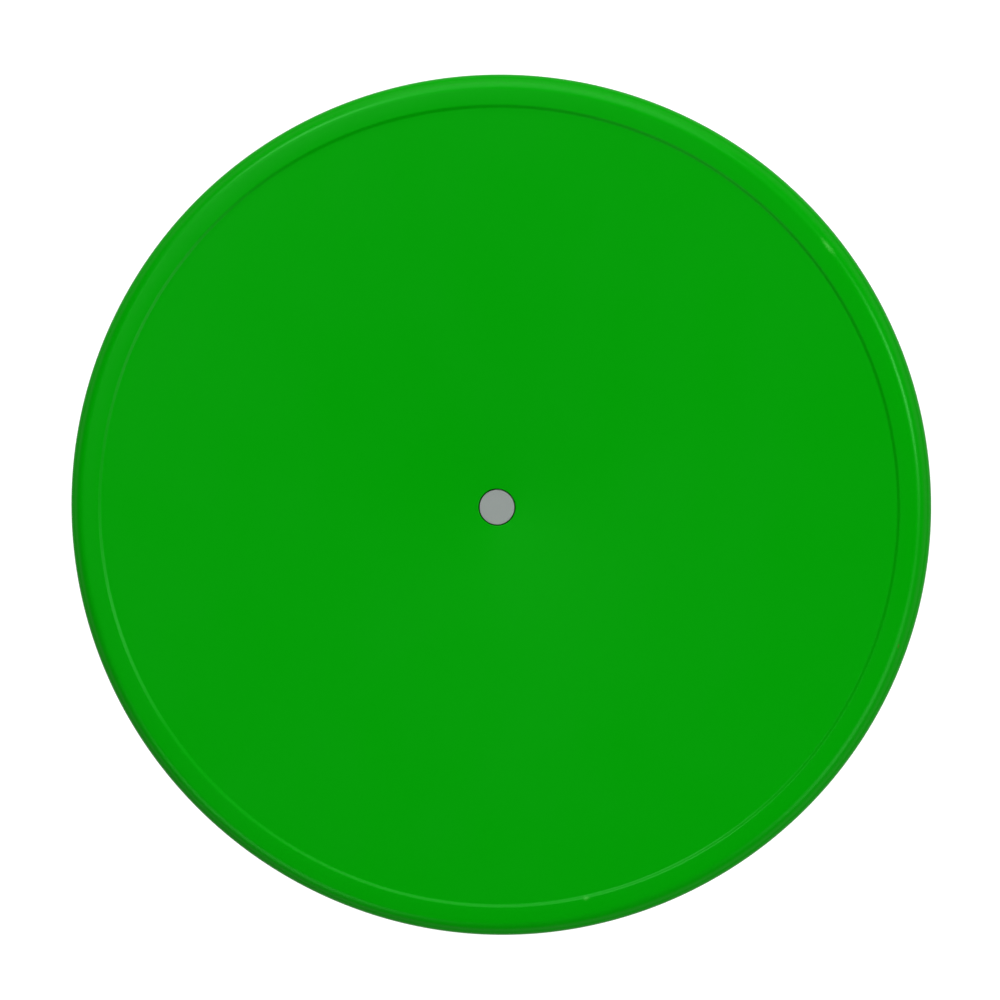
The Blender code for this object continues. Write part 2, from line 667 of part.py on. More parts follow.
def hub_fasteners(plated):
    """The hub bolt, a washer under its head, and a washer and nut under the floor."""
    length = HUB_HEAD_BOTTOM - HUB_BOLT_BOTTOM
    bolt = hex_bolt(
        "hub_bolt", HUB_BOLT_RADIUS, HUB_BOLT_FLATS, HUB_BOLT_HEAD_HEIGHT, length, head_below=False
    )
    place("hub_bolt", bolt, plated, at=(0, 0, HUB_HEAD_BOTTOM))
    for name, top in (("hub_washer_upper", UPPER_WASHER_TOP), ("hub_washer_lower", LOWER_WASHER_TOP)):
        bottom = top - HUB_WASHER_THICKNESS
        washer = disc(name, HUB_BOLT_RADIUS + GAP, HUB_WASHER_RADIUS, bottom, top)
        place(name, washer, plated)
    nut = hex_nut("hub_nut", HUB_BOLT_RADIUS, HUB_BOLT_FLATS, HUB_NUT_HEIGHT)
    place("hub_nut", nut, plated, at=(0, 0, HUB_NUT_BOTTOM))


def cap_base(material):
    """The cup under the bolt's head whose wall the cap snaps over."""
    outer = CAP_RADIUS - CAP_WALL - GAP
    inner = outer - CAP_BASE_WALL
    wall_top = CAP_BASE_FLOOR + CAP_GRIP
    outline = [
        (HUB_HOLE_RADIUS, CAP_BASE_BOTTOM),
        (outer, CAP_BASE_BOTTOM),
        (outer, wall_top),
        (inner, wall_top),
        (inner, CAP_BASE_FLOOR),
        (HUB_HOLE_RADIUS, CAP_BASE_FLOOR),
    ]
    place("cap_base", turned("cap_base", outline, SMALL_SEGMENTS), material)


def hub_cap(material):
    """The flat cap over the bolt's head. Its origin is on its lift-off axis."""
    skirt_inner = CAP_RADIUS - CAP_WALL
    skirt_bottom = CAP_BASE_FLOOR + GAP - CAP_TOP
    edge_round = CAP_THICKNESS / 4
    outline = [
        (0, 0),
        (CAP_RADIUS - edge_round, 0),
        (CAP_RADIUS, -edge_round),
        (CAP_RADIUS, skirt_bottom),
        (skirt_inner, skirt_bottom),
        (skirt_inner, -CAP_THICKNESS),
        (0, -CAP_THICKNESS),
    ]
    place("hub_cap", turned("hub_cap", outline, SMALL_SEGMENTS), material, at=(0, 0, CAP_TOP))


def build():
    clear_scene()
    galvanised = finish("galvanised_steel", GALVANISED)
    plated = finish("zinc_plated_steel", ZINC_PLATED)
    seat_shell(finish("seat_green", SEAT_GREEN))
    base_shell(finish("base_green", BASE_GREEN))
    frame_ring(galvanised)
    spokes(galvanised)
    hub(galvanised)
    hangers(galvanised, finish("ring_steel", RING_STEEL), plated)
    shell_screws(plated)
    hub_fasteners(plated)
    cap_base(finish("cap_base_black", CAP_BASE_BLACK))
    hub_cap(finish("cap_grey", CAP_GREY))


build()
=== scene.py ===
# %% [markdown]
# # The saucer seat of a nest swing
#
# The seat is a green moulded disc about a metre across, with a sunk panel, a raised rim and a flat grey
# cap over the bolt in its middle. The CAD model gives every place and size. These cells dress it: smooth
# turned shells, rounded steel fittings, a finish for each surface, and a plain studio.

# %% Load the frame and keep its box
import json
import math

import bmesh
import bpy
from mathutils import Matrix, Vector


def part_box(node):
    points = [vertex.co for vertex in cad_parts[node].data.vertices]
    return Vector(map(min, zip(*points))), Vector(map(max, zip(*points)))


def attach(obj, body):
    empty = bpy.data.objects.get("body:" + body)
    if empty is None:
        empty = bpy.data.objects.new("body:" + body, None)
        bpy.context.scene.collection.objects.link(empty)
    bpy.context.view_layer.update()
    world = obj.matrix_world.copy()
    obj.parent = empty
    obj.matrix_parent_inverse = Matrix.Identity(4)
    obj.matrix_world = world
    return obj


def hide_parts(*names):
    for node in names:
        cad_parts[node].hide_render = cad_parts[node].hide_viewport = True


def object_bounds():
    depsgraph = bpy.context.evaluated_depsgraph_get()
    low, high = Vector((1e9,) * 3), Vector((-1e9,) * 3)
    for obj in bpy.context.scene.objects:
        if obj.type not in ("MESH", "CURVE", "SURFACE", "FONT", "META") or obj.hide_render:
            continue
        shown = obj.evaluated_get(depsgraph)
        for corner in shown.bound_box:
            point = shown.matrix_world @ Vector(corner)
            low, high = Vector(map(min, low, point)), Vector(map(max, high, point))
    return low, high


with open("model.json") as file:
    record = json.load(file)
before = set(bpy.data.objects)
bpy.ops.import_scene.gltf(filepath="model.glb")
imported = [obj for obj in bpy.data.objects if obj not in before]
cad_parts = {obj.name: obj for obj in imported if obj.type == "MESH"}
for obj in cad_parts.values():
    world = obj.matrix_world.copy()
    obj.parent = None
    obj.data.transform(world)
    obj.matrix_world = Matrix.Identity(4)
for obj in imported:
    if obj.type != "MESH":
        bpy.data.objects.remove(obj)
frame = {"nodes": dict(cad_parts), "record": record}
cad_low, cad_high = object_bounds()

MM = 0.001
GAP = 0.3 * MM  # between pieces that touch
print("CAD box:", [round(v, 4) for v in (*cad_low, *cad_high)])

# %% [markdown]
# ## Sizes
#
# A dressed piece must sit where its CAD node sits, so heights and radii are read from the frame's boxes.
# Only what a box can't tell, such as how wide the rim's flat band is, is named here again.

# %% Sizes of the moulded shells
SEAT_RADIUS = cad_high.x
RIM_TOP = cad_high.z
LEDGE_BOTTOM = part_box("seat_shell")[0].z
PANEL_DROP = 2.5 * MM
PANEL_THICKNESS = 5 * MM
PANEL_TOP = RIM_TOP - PANEL_DROP
RECESS_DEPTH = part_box("hub_washer_lower")[1].z + GAP
FLOOR_TOP = RECESS_DEPTH + 4 * MM
PARTING_HEIGHT = FLOOR_TOP + 7 * MM  # of the joint between the two shells
WALL = 4 * MM
NOSE_WIDTH = 18.6 * MM
NOSE_HEIGHT = 30 * MM
RIM_FLAT_WIDTH = 16 * MM
STEP_WIDTH = 5 * MM
SEAM_ROUND = 0.8 * MM
OUTLINE_SLACK = 1.6 * MM  # a moulding this wide is never quite round, so its mean radius is a little less
MEAN_RADIUS = SEAT_RADIUS - OUTLINE_SLACK
print(f"panel top {PANEL_TOP:.4f} m, joint line {PARTING_HEIGHT:.4f} m")

# %% [markdown]
# The hole in the panel follows the cap, and its collar follows the hole. The foot is a flat band a little
# inside the outline, with a large round on its outer side.

# %% Sizes round the hub and of the foot
CAP_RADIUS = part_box("hub_cap")[1].x
CAP_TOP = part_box("hub_cap")[1].z
CAP_SKIRT_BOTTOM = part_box("hub_cap")[0].z
CAP_RING_GAP = 1.1 * MM
HOLE_RADIUS = CAP_RADIUS + CAP_RING_GAP
HOLE_EDGE_ROUND = 1 * MM
COLLAR_RADIUS = HOLE_RADIUS + 4 * MM
BOLT_HOLE_RADIUS = 9 * MM
LEDGE_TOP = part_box("cap_base")[0].z - GAP
FOOT_ROUND = 12 * MM
FOOT_DRAFT = 2 * MM
FOOT_WIDTH = 44 * MM
FOOT_OUTER = SEAT_RADIUS - FOOT_DRAFT - FOOT_ROUND
FOOT_INNER = FOOT_OUTER - FOOT_WIDTH
FOOT_SLOPE = 8 * MM  # how much the foot widens up to the floor
print(f"recess {RECESS_DEPTH:.4f} m, hole radius {HOLE_RADIUS:.4f} m, foot from {FOOT_INNER:.4f} m")

# %% [markdown]
# ## The camera
#
# The seat is seen from almost straight above, from 6.4 m away with a long lens, so that it looks nearly as
# round as it is. The camera leans a few degrees to the upper right, so the wall shows slightly more on
# that side. Its axes are given outright, because a tracking rotation would roll the view near the pole.

# %% Camera
CAMERA_DISTANCE = 6.35
CAMERA_LEAN = math.radians(5.5)
CAMERA_LEAN_DIRECTION = math.radians(32)
CAMERA_AIM = Vector((0.0015, 0.0071, 0.040))
CAMERA_LENS_MM = 197.7


def add_camera():
    away = Vector((
        math.sin(CAMERA_LEAN) * math.cos(CAMERA_LEAN_DIRECTION),
        math.sin(CAMERA_LEAN) * math.sin(CAMERA_LEAN_DIRECTION),
        math.cos(CAMERA_LEAN),
    ))
    data = bpy.data.cameras.new("camera")
    data.lens = CAMERA_LENS_MM
    data.sensor_width = 36.0
    data.clip_end = 100.0
    camera = bpy.data.objects.new("camera", data)
    right = Vector((0, 1, 0)).cross(away).normalized()
    up = away.cross(right)
    camera.matrix_world = Matrix((right, up, away)).transposed().to_4x4()
    camera.location = CAMERA_AIM + away * CAMERA_DISTANCE
    bpy.context.collection.objects.link(camera)
    bpy.context.scene.camera = camera
    return camera


add_camera()
print("camera", [round(v, 3) for v in bpy.context.scene.camera.location])

# %% [markdown]
# ## The studio
#
# Soft area lights stand well to the side of the camera's line, because a flat panel seen square on would
# mirror anything near the camera as a grey veil over its green. What the rounded rim mirrors of them is
# its bright edge: a narrow line towards the upper left and the right, and a broad one towards the top.
# The floor glows, so it stays a clean white page.

# %% Soft boxes
LIGHTS = (
    # name, direction round the seat (degrees), angle off the vertical, distance, width, power
    ("light_overhead", 140, 20, 5.0, 1.4, 62),
    ("light_upper_left", 124, 48, 5.0, 1.1, 165),
    ("light_right", 15, 50, 5.0, 1.2, 200),
    ("light_top", 88, 66, 5.0, 4.5, 390),
    ("light_lower_left", 234, 50, 5.0, 2.5, 125),
    ("light_lower_right", 325, 52, 5.0, 2.5, 175),
)


def soft_box(name, direction, off_vertical, distance, width, power):
    """A square area light that faces the seat."""
    data = bpy.data.lights.new(name, "AREA")
    data.energy = power
    data.size = width
    around = math.radians(direction)
    tilt = math.radians(off_vertical)
    away = Vector((math.sin(tilt) * math.cos(around), math.sin(tilt) * math.sin(around), math.cos(tilt)))
    light = bpy.data.objects.new(name, data)
    light.location = away * distance
    light.rotation_mode = "QUATERNION"
    light.rotation_quaternion = away.to_track_quat("Z", "Y")
    bpy.context.collection.objects.link(light)
    return light


for row in LIGHTS:
    soft_box(*row)
print(len(LIGHTS), "lights")

# %% [markdown]
# Two short helpers keep the node trees readable: one adds a node and feeds it, the other adds a maths node
# and hands back its result. Every tree below, for shapes and for finishes, is built with them.

# %% Helpers for node trees
def feed(tree, socket, value):
    """Links a socket to another, or sets its value."""
    if isinstance(value, bpy.types.NodeSocket):
        tree.links.new(value, socket)
    else:
        socket.default_value = value


def add_node(tree, kind, inputs=None, **settings):
    node = tree.nodes.new(kind)
    for name, value in settings.items():
        setattr(node, name, value)
    for key, value in (inputs or {}).items():
        feed(tree, node.inputs[key], value)
    return node


def maths(tree, operation, first, second=0.0, third=None):
    inputs = {0: first, 1: second}
    if third is not None:
        inputs[2] = third
    return add_node(tree, "ShaderNodeMath", inputs, operation=operation).outputs[0]


def new_group(name, kind, inputs, outputs):
    """A node group with named sockets. inputs and outputs are (name, socket type, start value)."""
    tree = bpy.data.node_groups.new(name, kind)
    for way, sockets in (("INPUT", inputs), ("OUTPUT", outputs)):
        for socket_name, socket_kind, start in sockets:
            kind_name = "NodeSocket" + socket_kind
            socket = tree.interface.new_socket(socket_name, in_out=way, socket_type=kind_name)
            if start is not None:
                socket.default_value = start
    entry = tree.nodes.new("NodeGroupInput").outputs
    leave = tree.nodes.new("NodeGroupOutput").inputs
    return tree, entry, leave


# %% [markdown]
# ### World and floor
#
# The world is white in a low band round the horizon, so the floor has no visible end in a view from the
# side. Overhead it is nearly dark, so the panel mirrors little. A light tent would give the green a grey
# veil.

# %% World
WORLD_HORIZON = 1.0
WORLD_OVERHEAD = 0.02
WORLD_BLEND = (0.05, 0.12)  # height on the unit sphere where the pale band ends and the dark part starts


def make_world():
    world = bpy.data.worlds.new("studio")
    bpy.context.scene.world = world
    world.use_nodes = True
    tree = world.node_tree
    outwards = tree.nodes.new("ShaderNodeTexCoord").outputs["Generated"]
    height = add_node(tree, "ShaderNodeSeparateXYZ", {0: outwards})
    low, high = WORLD_BLEND
    blend = add_node(tree, "ShaderNodeMapRange", {
        "Value": height.outputs["Z"],
        "From Min": low,
        "From Max": high,
        "To Min": WORLD_HORIZON,
        "To Max": WORLD_OVERHEAD,
    })
    background = tree.nodes["Background"]
    background.inputs["Color"].default_value = (1, 1, 1, 1)
    feed(tree, background.inputs["Strength"], blend.outputs[0])


make_world()
print("world: white horizon, dark overhead")

# %% [markdown]
# The floor is a plain sheet just under the seat. It is dull grey with a white glow, so the lights add little
# to it, and what it throws back on the seat's wall stays soft.

# %% Floor
FLOOR_GLOW = 0.97
FLOOR_RADIUS = 40.0
FLOOR_DROP = 0.5 * MM


def make_floor():
    material = bpy.data.materials.new("floor_white")
    material.use_nodes = True
    shader = material.node_tree.nodes["Principled BSDF"]
    shader.inputs["Base Color"].default_value = (0.15, 0.15, 0.15, 1)
    shader.inputs["Roughness"].default_value = 0.9
    shader.inputs["Specular IOR Level"].default_value = 0.0
    shader.inputs["Emission Color"].default_value = (1, 1, 1, 1)
    shader.inputs["Emission Strength"].default_value = FLOOR_GLOW
    shape = bmesh.new()
    bmesh.ops.create_circle(shape, cap_ends=True, segments=64, radius=FLOOR_RADIUS)
    mesh = bpy.data.meshes.new("floor")
    shape.to_mesh(mesh)
    shape.free()
    mesh.materials.append(material)
    floor = bpy.data.objects.new("floor", mesh)
    floor.location.z = -FLOOR_DROP
    bpy.context.collection.objects.link(floor)


make_floor()
bpy.context.scene.view_settings.view_transform = "Standard"
print("floor:", FLOOR_RADIUS, "m out")

# %% [markdown]
# ## Finishes
#
# The shells are polyethylene, coloured right through, with the fine grain of the mould in their skin. A
# picture of grain would slide or repeat. Noise on Object coordinates doesn't, and it keeps its size in
# metres on every piece. The grain is a group, because both shells, the cap and the cap's cup wear it at
# their own depth.

# %% Shared effect: moulded grain
def make_grain_group():
    """Fine raised grain over slow waves, with a mask of patches that are a little duller."""
    tree, entry, leave = new_group(
        "moulded_grain",
        "ShaderNodeTree",
        [("Vector", "Vector", None), ("Grain Size", "Float", 0.0015), ("Patch Size", "Float", 0.08)],
        [("Height", "Float", None), ("Patches", "Float", None)],
    )
    fine = maths(tree, "DIVIDE", 1.0, entry["Grain Size"])
    slow = maths(tree, "DIVIDE", 1.0, entry["Patch Size"])
    grain = add_node(tree, "ShaderNodeTexNoise", {
        "Vector": entry["Vector"], "Scale": fine, "Detail": 2.0, "Roughness": 0.6,
    })
    patches = add_node(tree, "ShaderNodeTexNoise", {
        "Vector": entry["Vector"], "Scale": slow, "Detail": 3.0, "Roughness": 0.5,
    })
    feed(tree, leave["Height"], grain.outputs[0])
    feed(tree, leave["Patches"], patches.outputs[0])
    return tree


MOULDED_GRAIN = make_grain_group()

# %% [markdown]
# A seat that has been handled has a few small marks. One of them, high on the rim to the right, is partly
# a scuff and partly painted highlight. Each is a short stroke at its own place, broken up by noise so that
# it doesn't look drawn. The group is placed once for each mark.

# %% Shared effect: a mark of wear, also used for painted highlight
def make_mark_group():
    """A short broken stroke of given length and width, centred and turned on the top face."""
    tree, entry, leave = new_group(
        "wear_and_highlight_mark",
        "ShaderNodeTree",
        [
            ("Vector", "Vector", None),
            ("Centre", "Vector", (0.0, 0.0, 0.0)),
            ("Turn", "Float", 0.0),
            ("Length", "Float", 0.012),
            ("Width", "Float", 0.002),
        ],
        [("Mask", "Float", None)],
    )
    ends = {0: entry["Vector"], 1: entry["Centre"]}
    offset = add_node(tree, "ShaderNodeVectorMath", ends, operation="SUBTRACT")
    turned_offset = add_node(tree, "ShaderNodeVectorRotate", {
        "Vector": offset.outputs[0], "Angle": entry["Turn"],
    }, rotation_type="Z_AXIS")
    parts = add_node(tree, "ShaderNodeSeparateXYZ", {0: turned_offset.outputs[0]})
    along = maths(tree, "DIVIDE", parts.outputs["X"], entry["Length"])
    across = maths(tree, "DIVIDE", parts.outputs["Y"], entry["Width"])
    squares = maths(tree, "ADD", maths(tree, "POWER", along, 2.0), maths(tree, "POWER", across, 2.0))
    reach = maths(tree, "SQRT", squares)
    noise = add_node(tree, "ShaderNodeTexNoise", {"Vector": entry["Vector"], "Scale": 700.0, "Detail": 2.0})
    edge = maths(tree, "ADD", reach, maths(tree, "MULTIPLY", noise.outputs[0], 0.9))
    mask = add_node(tree, "ShaderNodeMapRange", {
        "Value": edge, "From Min": 0.45, "From Max": 0.95, "To Min": 1.0, "To Max": 0.0,
    })
    feed(tree, leave["Mask"], mask.outputs[0])
    return tree


# The same group places scuffs, a brown smear, and one painted highlight on the rim.
WEAR_AND_HIGHLIGHT_MARK = make_mark_group()

# %% [markdown]
# Every finish starts the same way, places the groups above, and blends two colours by a mask. Three helpers
# do that.

# %% Start of a material
def start_material(name):
    """A new material with its shader and Object coordinates."""
    material = bpy.data.materials.new(name)
    material.use_nodes = True
    tree = material.node_tree
    shader = tree.nodes["Principled BSDF"]
    place = tree.nodes.new("ShaderNodeTexCoord").outputs["Object"]
    return material, tree, shader, place


def placed_group(tree, group, inputs):
    node = tree.nodes.new("ShaderNodeGroup")
    node.node_tree = group
    for name, value in inputs.items():
        feed(tree, node.inputs[name], value)
    return node.outputs


def mixed_colour(tree, share, first, second):
    node = add_node(tree, "ShaderNodeMix", data_type="RGBA")
    feed(tree, node.inputs[0], share)
    feed(tree, node.inputs[6], first)
    feed(tree, node.inputs[7], second)
    return node.outputs[2]


# %% [markdown]
# ### Green polyethylene
#
# The colour is nearly pure green, a touch darker and duller in slow patches. Little light is mirrored, and
# still less where the skin is seen edge-on, so the rim keeps its green right to the outline. The marks
# lighten the colour, except one old brown smear on the rim. The long light mark high on the rim to the
# right is partly a scuff and partly painted highlight: it paints a wider spot of the rim's bright streak.

# %% Material of the shells
GREEN = (0.00005, 0.140, 0.0002, 1)
GREEN_DULL = (0.0002, 0.135, 0.0005, 1)
SHEEN = 0.10  # how much the skin mirrors where it is seen square on
EDGE_SHEEN = 0.003  # and where it is seen edge-on
# paler green of the scuffs, also used as painted highlight on the rim
SCUFF_AND_HIGHLIGHT_GREEN = (0.022, 0.185, 0.018, 1)
SMEAR_BROWN = (0.03, 0.06, 0.005, 1)
WEAR_AND_HIGHLIGHT_MARKS = (
    # direction round the seat (degrees), radius, length, width, colour
    # partly a scuff, partly painted highlight where the rim's bright streak runs wider
    (38.3, 0.4843, 0.0260, 0.0065, SCUFF_AND_HIGHLIGHT_GREEN),
    (-77.1, 0.4628, 0.0090, 0.0060, SCUFF_AND_HIGHLIGHT_GREEN),
    (-18.8, 0.4880, 0.0060, 0.0020, SMEAR_BROWN),
)


def shell_material(name, grain_depth, marks):
    material, tree, shader, place = start_material(name)
    grain = placed_group(tree, MOULDED_GRAIN, {"Vector": place, "Grain Size": 0.0016, "Patch Size": 0.09})
    colour = mixed_colour(tree, grain["Patches"], GREEN, GREEN_DULL)
    for direction, radius, length, width, mark_colour in marks:
        angle = math.radians(direction)
        centre = (radius * math.cos(angle), radius * math.sin(angle), PANEL_TOP)
        mark = placed_group(tree, WEAR_AND_HIGHLIGHT_MARK, {
            "Vector": place,
            "Centre": centre,
            "Turn": -(angle + math.pi / 2),
            "Length": length,
            "Width": width,
        })
        # each mask mixes its mark's colour in; the first mark paints highlight into the base colour
        colour = mixed_colour(tree, mark["Mask"], colour, mark_colour)
    roughness = add_node(tree, "ShaderNodeMapRange", {
        "Value": grain["Patches"], "From Min": 0.3, "From Max": 0.7, "To Min": 0.28, "To Max": 0.33,
    })
    bump = add_node(tree, "ShaderNodeBump", {
        "Height": grain["Height"], "Strength": 0.5, "Distance": grain_depth,
    })
    feed(tree, shader.inputs["Base Color"], colour)
    feed(tree, shader.inputs["Roughness"], roughness.outputs[0])
    feed(tree, shader.inputs["Normal"], bump.outputs[0])
    facing = add_node(tree, "ShaderNodeLayerWeight", {"Blend": 0.5}).outputs["Facing"]
    sheen = add_node(tree, "ShaderNodeMapRange", {
        "Value": facing, "From Min": 0.12, "From Max": 0.55, "To Min": SHEEN, "To Max": EDGE_SHEEN,
    })
    feed(tree, shader.inputs["Specular IOR Level"], sheen.outputs[0])
    shader.inputs["Specular Tint"].default_value = (0.26, 1.0, 0.33, 1)
    return material


SEAT_GREEN = shell_material("seat_green", 0.12 * MM, WEAR_AND_HIGHLIGHT_MARKS)
BASE_GREEN = shell_material("base_green", 0.08 * MM, ())
print("green shells: two materials,", len(WEAR_AND_HIGHLIGHT_MARKS), "marks")

# %% [markdown]
# ### Other plastics
#
# The cap is smooth grey, and the cup that it snaps on is black. Both have the same grain, finer and
# shallower.

# %% Materials of the cap and its cup
GREY = (0.117, 0.131, 0.124, 1)
GREY_DULL = (0.110, 0.124, 0.117, 1)
BLACK = (0.010, 0.011, 0.010, 1)
BLACK_DULL = (0.016, 0.016, 0.016, 1)


def plastic(name, colour, dull, roughness, grain_size, grain_depth, specular):
    material, tree, shader, place = start_material(name)
    grain = placed_group(tree, MOULDED_GRAIN, {
        "Vector": place, "Grain Size": grain_size, "Patch Size": 0.012,
    })
    bump = add_node(tree, "ShaderNodeBump", {
        "Height": grain["Height"], "Strength": 0.4, "Distance": grain_depth,
    })
    duller = maths(tree, "MULTIPLY_ADD", grain["Patches"], 0.10, roughness - 0.05)
    feed(tree, shader.inputs["Base Color"], mixed_colour(tree, grain["Patches"], colour, dull))
    feed(tree, shader.inputs["Roughness"], duller)
    feed(tree, shader.inputs["Normal"], bump.outputs[0])
    shader.inputs["Specular IOR Level"].default_value = specular
    return material


CAP_GREY = plastic("cap_grey", GREY, GREY_DULL, 0.5, 0.0008, 0.02 * MM, 0.2)
CUP_BLACK = plastic("cap_base_black", BLACK, BLACK_DULL, 0.6, 0.001, 0.03 * MM, 0.3)
print("two plastics")

# %% [markdown]
# ### Steels
#
# Hot-dip galvanising crystallises as it cools: flat angular patches, each a slightly different grey. A
# Voronoi cell's random colour is just that. The ring bar has smaller patches, and the plated fasteners
# the smallest and brightest. One function makes all three from its arguments.

# %% Materials of the steels
def steel(name, light, dark, spangle_size, roughness_low, roughness_high):
    material, tree, shader, place = start_material(name)
    cells = add_node(tree, "ShaderNodeTexVoronoi", {"Vector": place, "Scale": 1 / spangle_size})
    tone = add_node(tree, "ShaderNodeSeparateColor", {0: cells.outputs["Color"]})
    blotches = add_node(tree, "ShaderNodeTexNoise", {"Vector": place, "Scale": 60.0, "Detail": 4.0})
    clouds = maths(tree, "MULTIPLY", blotches.outputs[0], 0.4)
    share = maths(tree, "MULTIPLY_ADD", tone.outputs[0], 0.6, clouds)
    rough = add_node(tree, "ShaderNodeMapRange", {
        "Value": share, "From Min": 0.2, "From Max": 0.8, "To Min": roughness_low, "To Max": roughness_high,
    })
    bump = add_node(tree, "ShaderNodeBump", {
        "Height": blotches.outputs[0], "Strength": 0.3, "Distance": 0.1 * MM,
    })
    feed(tree, shader.inputs["Base Color"], mixed_colour(tree, share, light, dark))
    feed(tree, shader.inputs["Roughness"], rough.outputs[0])
    feed(tree, shader.inputs["Normal"], bump.outputs[0])
    shader.inputs["Metallic"].default_value = 1.0
    return material


GALVANISED = steel("galvanised_steel", (0.56, 0.58, 0.60, 1), (0.40, 0.42, 0.44, 1), 0.006, 0.38, 0.58)
RING_STEEL = steel("ring_steel", (0.62, 0.62, 0.63, 1), (0.50, 0.50, 0.51, 1), 0.0025, 0.28, 0.42)
ZINC_PLATED = steel("zinc_plated_steel", (0.70, 0.71, 0.72, 1), (0.58, 0.59, 0.61, 1), 0.0015, 0.22, 0.34)
print("three steels")

# %% [markdown]
# ## Turned shells
#
# Both shells and the cap are bodies of revolution, so each is an outline and a rule: spin it. The rule is
# a Geometry Nodes tree. A grid's columns become the turn's steps and its rows the outline's points. The
# same tree gives the moulding its slight ovalness, which no true circle has, by waving the radius round
# the turn.

# %% The turning tree
def make_turning_tree():
    tree, entry, leave = new_group(
        "turned_piece",
        "GeometryNodeTree",
        [
            ("Outline", "Geometry", None),
            ("Outline Points", "Int", 10),
            ("Steps", "Int", 180),
            ("Oval", "Float", 0.0),
            ("Oval Direction", "Float", 0.0),
            ("Ripple", "Float", 0.0),
            ("Material", "Material", None),
        ],
        [("Geometry", "Geometry", None)],
    )
    columns = maths(tree, "ADD", entry["Steps"], 1.0)
    grid = add_node(tree, "GeometryNodeMeshGrid", {
        "Size X": 1.0, "Size Y": 1.0, "Vertices X": columns, "Vertices Y": entry["Outline Points"],
    })
    position = tree.nodes.new("GeometryNodeInputPosition").outputs[0]
    place = add_node(tree, "ShaderNodeSeparateXYZ", {0: position})
    angle = maths(tree, "MULTIPLY", maths(tree, "ADD", place.outputs["X"], 0.5), math.tau)
    last_row = maths(tree, "SUBTRACT", entry["Outline Points"], 1.0)
    up_the_grid = maths(tree, "ADD", place.outputs["Y"], 0.5)
    row = maths(tree, "ROUND", maths(tree, "MULTIPLY", up_the_grid, last_row))
    sample = add_node(tree, "GeometryNodeSampleIndex", data_type="FLOAT_VECTOR", domain="POINT")
    feed(tree, sample.inputs["Geometry"], entry["Outline"])
    feed(tree, sample.inputs["Value"], tree.nodes.new("GeometryNodeInputPosition").outputs[0])
    feed(tree, sample.inputs["Index"], row)
    corner = add_node(tree, "ShaderNodeSeparateXYZ", {0: sample.outputs[0]})
    twice = maths(tree, "MULTIPLY", maths(tree, "SUBTRACT", angle, entry["Oval Direction"]), 2.0)
    oval = maths(tree, "MULTIPLY", maths(tree, "COSINE", twice), entry["Oval"])
    five_times = maths(tree, "MULTIPLY", angle, 5.0)
    ripple = maths(tree, "MULTIPLY", maths(tree, "SINE", five_times), entry["Ripple"])
    stretch = maths(tree, "ADD", maths(tree, "ADD", oval, ripple), 1.0)
    radius = maths(tree, "MULTIPLY", corner.outputs["X"], stretch)
    spun = add_node(tree, "ShaderNodeCombineXYZ", {
        0: maths(tree, "MULTIPLY", radius, maths(tree, "COSINE", angle)),
        1: maths(tree, "MULTIPLY", radius, maths(tree, "SINE", angle)),
        2: corner.outputs["Z"],
    })
    moved = add_node(tree, "GeometryNodeSetPosition", {
        "Geometry": grid.outputs[0], "Position": spun.outputs[0],
    })
    closed = add_node(tree, "GeometryNodeMergeByDistance", {0: moved.outputs[0], "Distance": 0.001 * MM})
    smooth = add_node(tree, "GeometryNodeSetShadeSmooth", {0: closed.outputs[0]})
    real = add_node(tree, "GeometryNodeRealizeInstances", {0: smooth.outputs[0]})
    dressed = add_node(tree, "GeometryNodeSetMaterial", {
        "Geometry": real.outputs[0], "Material": entry["Material"],
    })
    feed(tree, leave["Geometry"], dressed.outputs[0])
    return tree


TURNING = make_turning_tree()

# %% [markdown]
# A tree runs as a modifier on some base mesh. Its inputs are set by the sockets' identifiers, then the
# evaluated result is kept as a plain mesh and the modifier goes. Normals are turned outwards and the
# shading is split at sharp edges only.

# %% Running a tree, and finishing a mesh
SHARP_EDGE = math.radians(32)


def show(name, mesh):
    piece = bpy.data.objects.new(name, mesh)
    bpy.context.collection.objects.link(piece)
    return piece


def tidy_mesh(mesh):
    """Welds doubles and stray slivers, points the faces outwards and shades smooth between sharp edges."""
    shape = bmesh.new()
    shape.from_mesh(mesh)
    bmesh.ops.remove_doubles(shape, verts=shape.verts, dist=0.002 * MM)
    bmesh.ops.dissolve_degenerate(shape, edges=shape.edges, dist=0.002 * MM)
    bmesh.ops.recalc_face_normals(shape, faces=shape.faces)
    if shape.calc_volume(signed=True) < 0:
        bmesh.ops.reverse_faces(shape, faces=shape.faces)
    shape.to_mesh(mesh)
    shape.free()
    mesh.shade_smooth()
    mesh.set_sharp_from_angle(angle=SHARP_EDGE)


def run_tree(name, tree, base, values, material):
    """Runs a tree on a base mesh and returns the result as a plain piece at the origin."""
    holder = show(name, base)
    modifier = holder.modifiers.new(tree.name, "NODES")
    modifier.node_group = tree
    wanted = dict(values, Material=material)
    for socket in tree.interface.items_tree:
        if socket.item_type == "SOCKET" and socket.in_out == "INPUT" and socket.name in wanted:
            modifier[socket.identifier] = wanted[socket.name]
    seen = holder.evaluated_get(bpy.context.evaluated_depsgraph_get())
    mesh = bpy.data.meshes.new_from_object(seen)
    bpy.data.objects.remove(holder)
    tidy_mesh(mesh)
    mesh.materials.clear()
    mesh.materials.append(material)
    mesh.name = name
    return show(name, mesh)


def triangles(piece):
    piece.data.calc_loop_triangles()
    return len(piece.data.loop_triangles)


# %% [markdown]
# What stands round the seat in a circle, such as ribs, screws and straps, is made once and set out by a
# second tree. It puts the piece on the corners of a circle, turns each to face outwards, and realises the
# copies as one mesh.

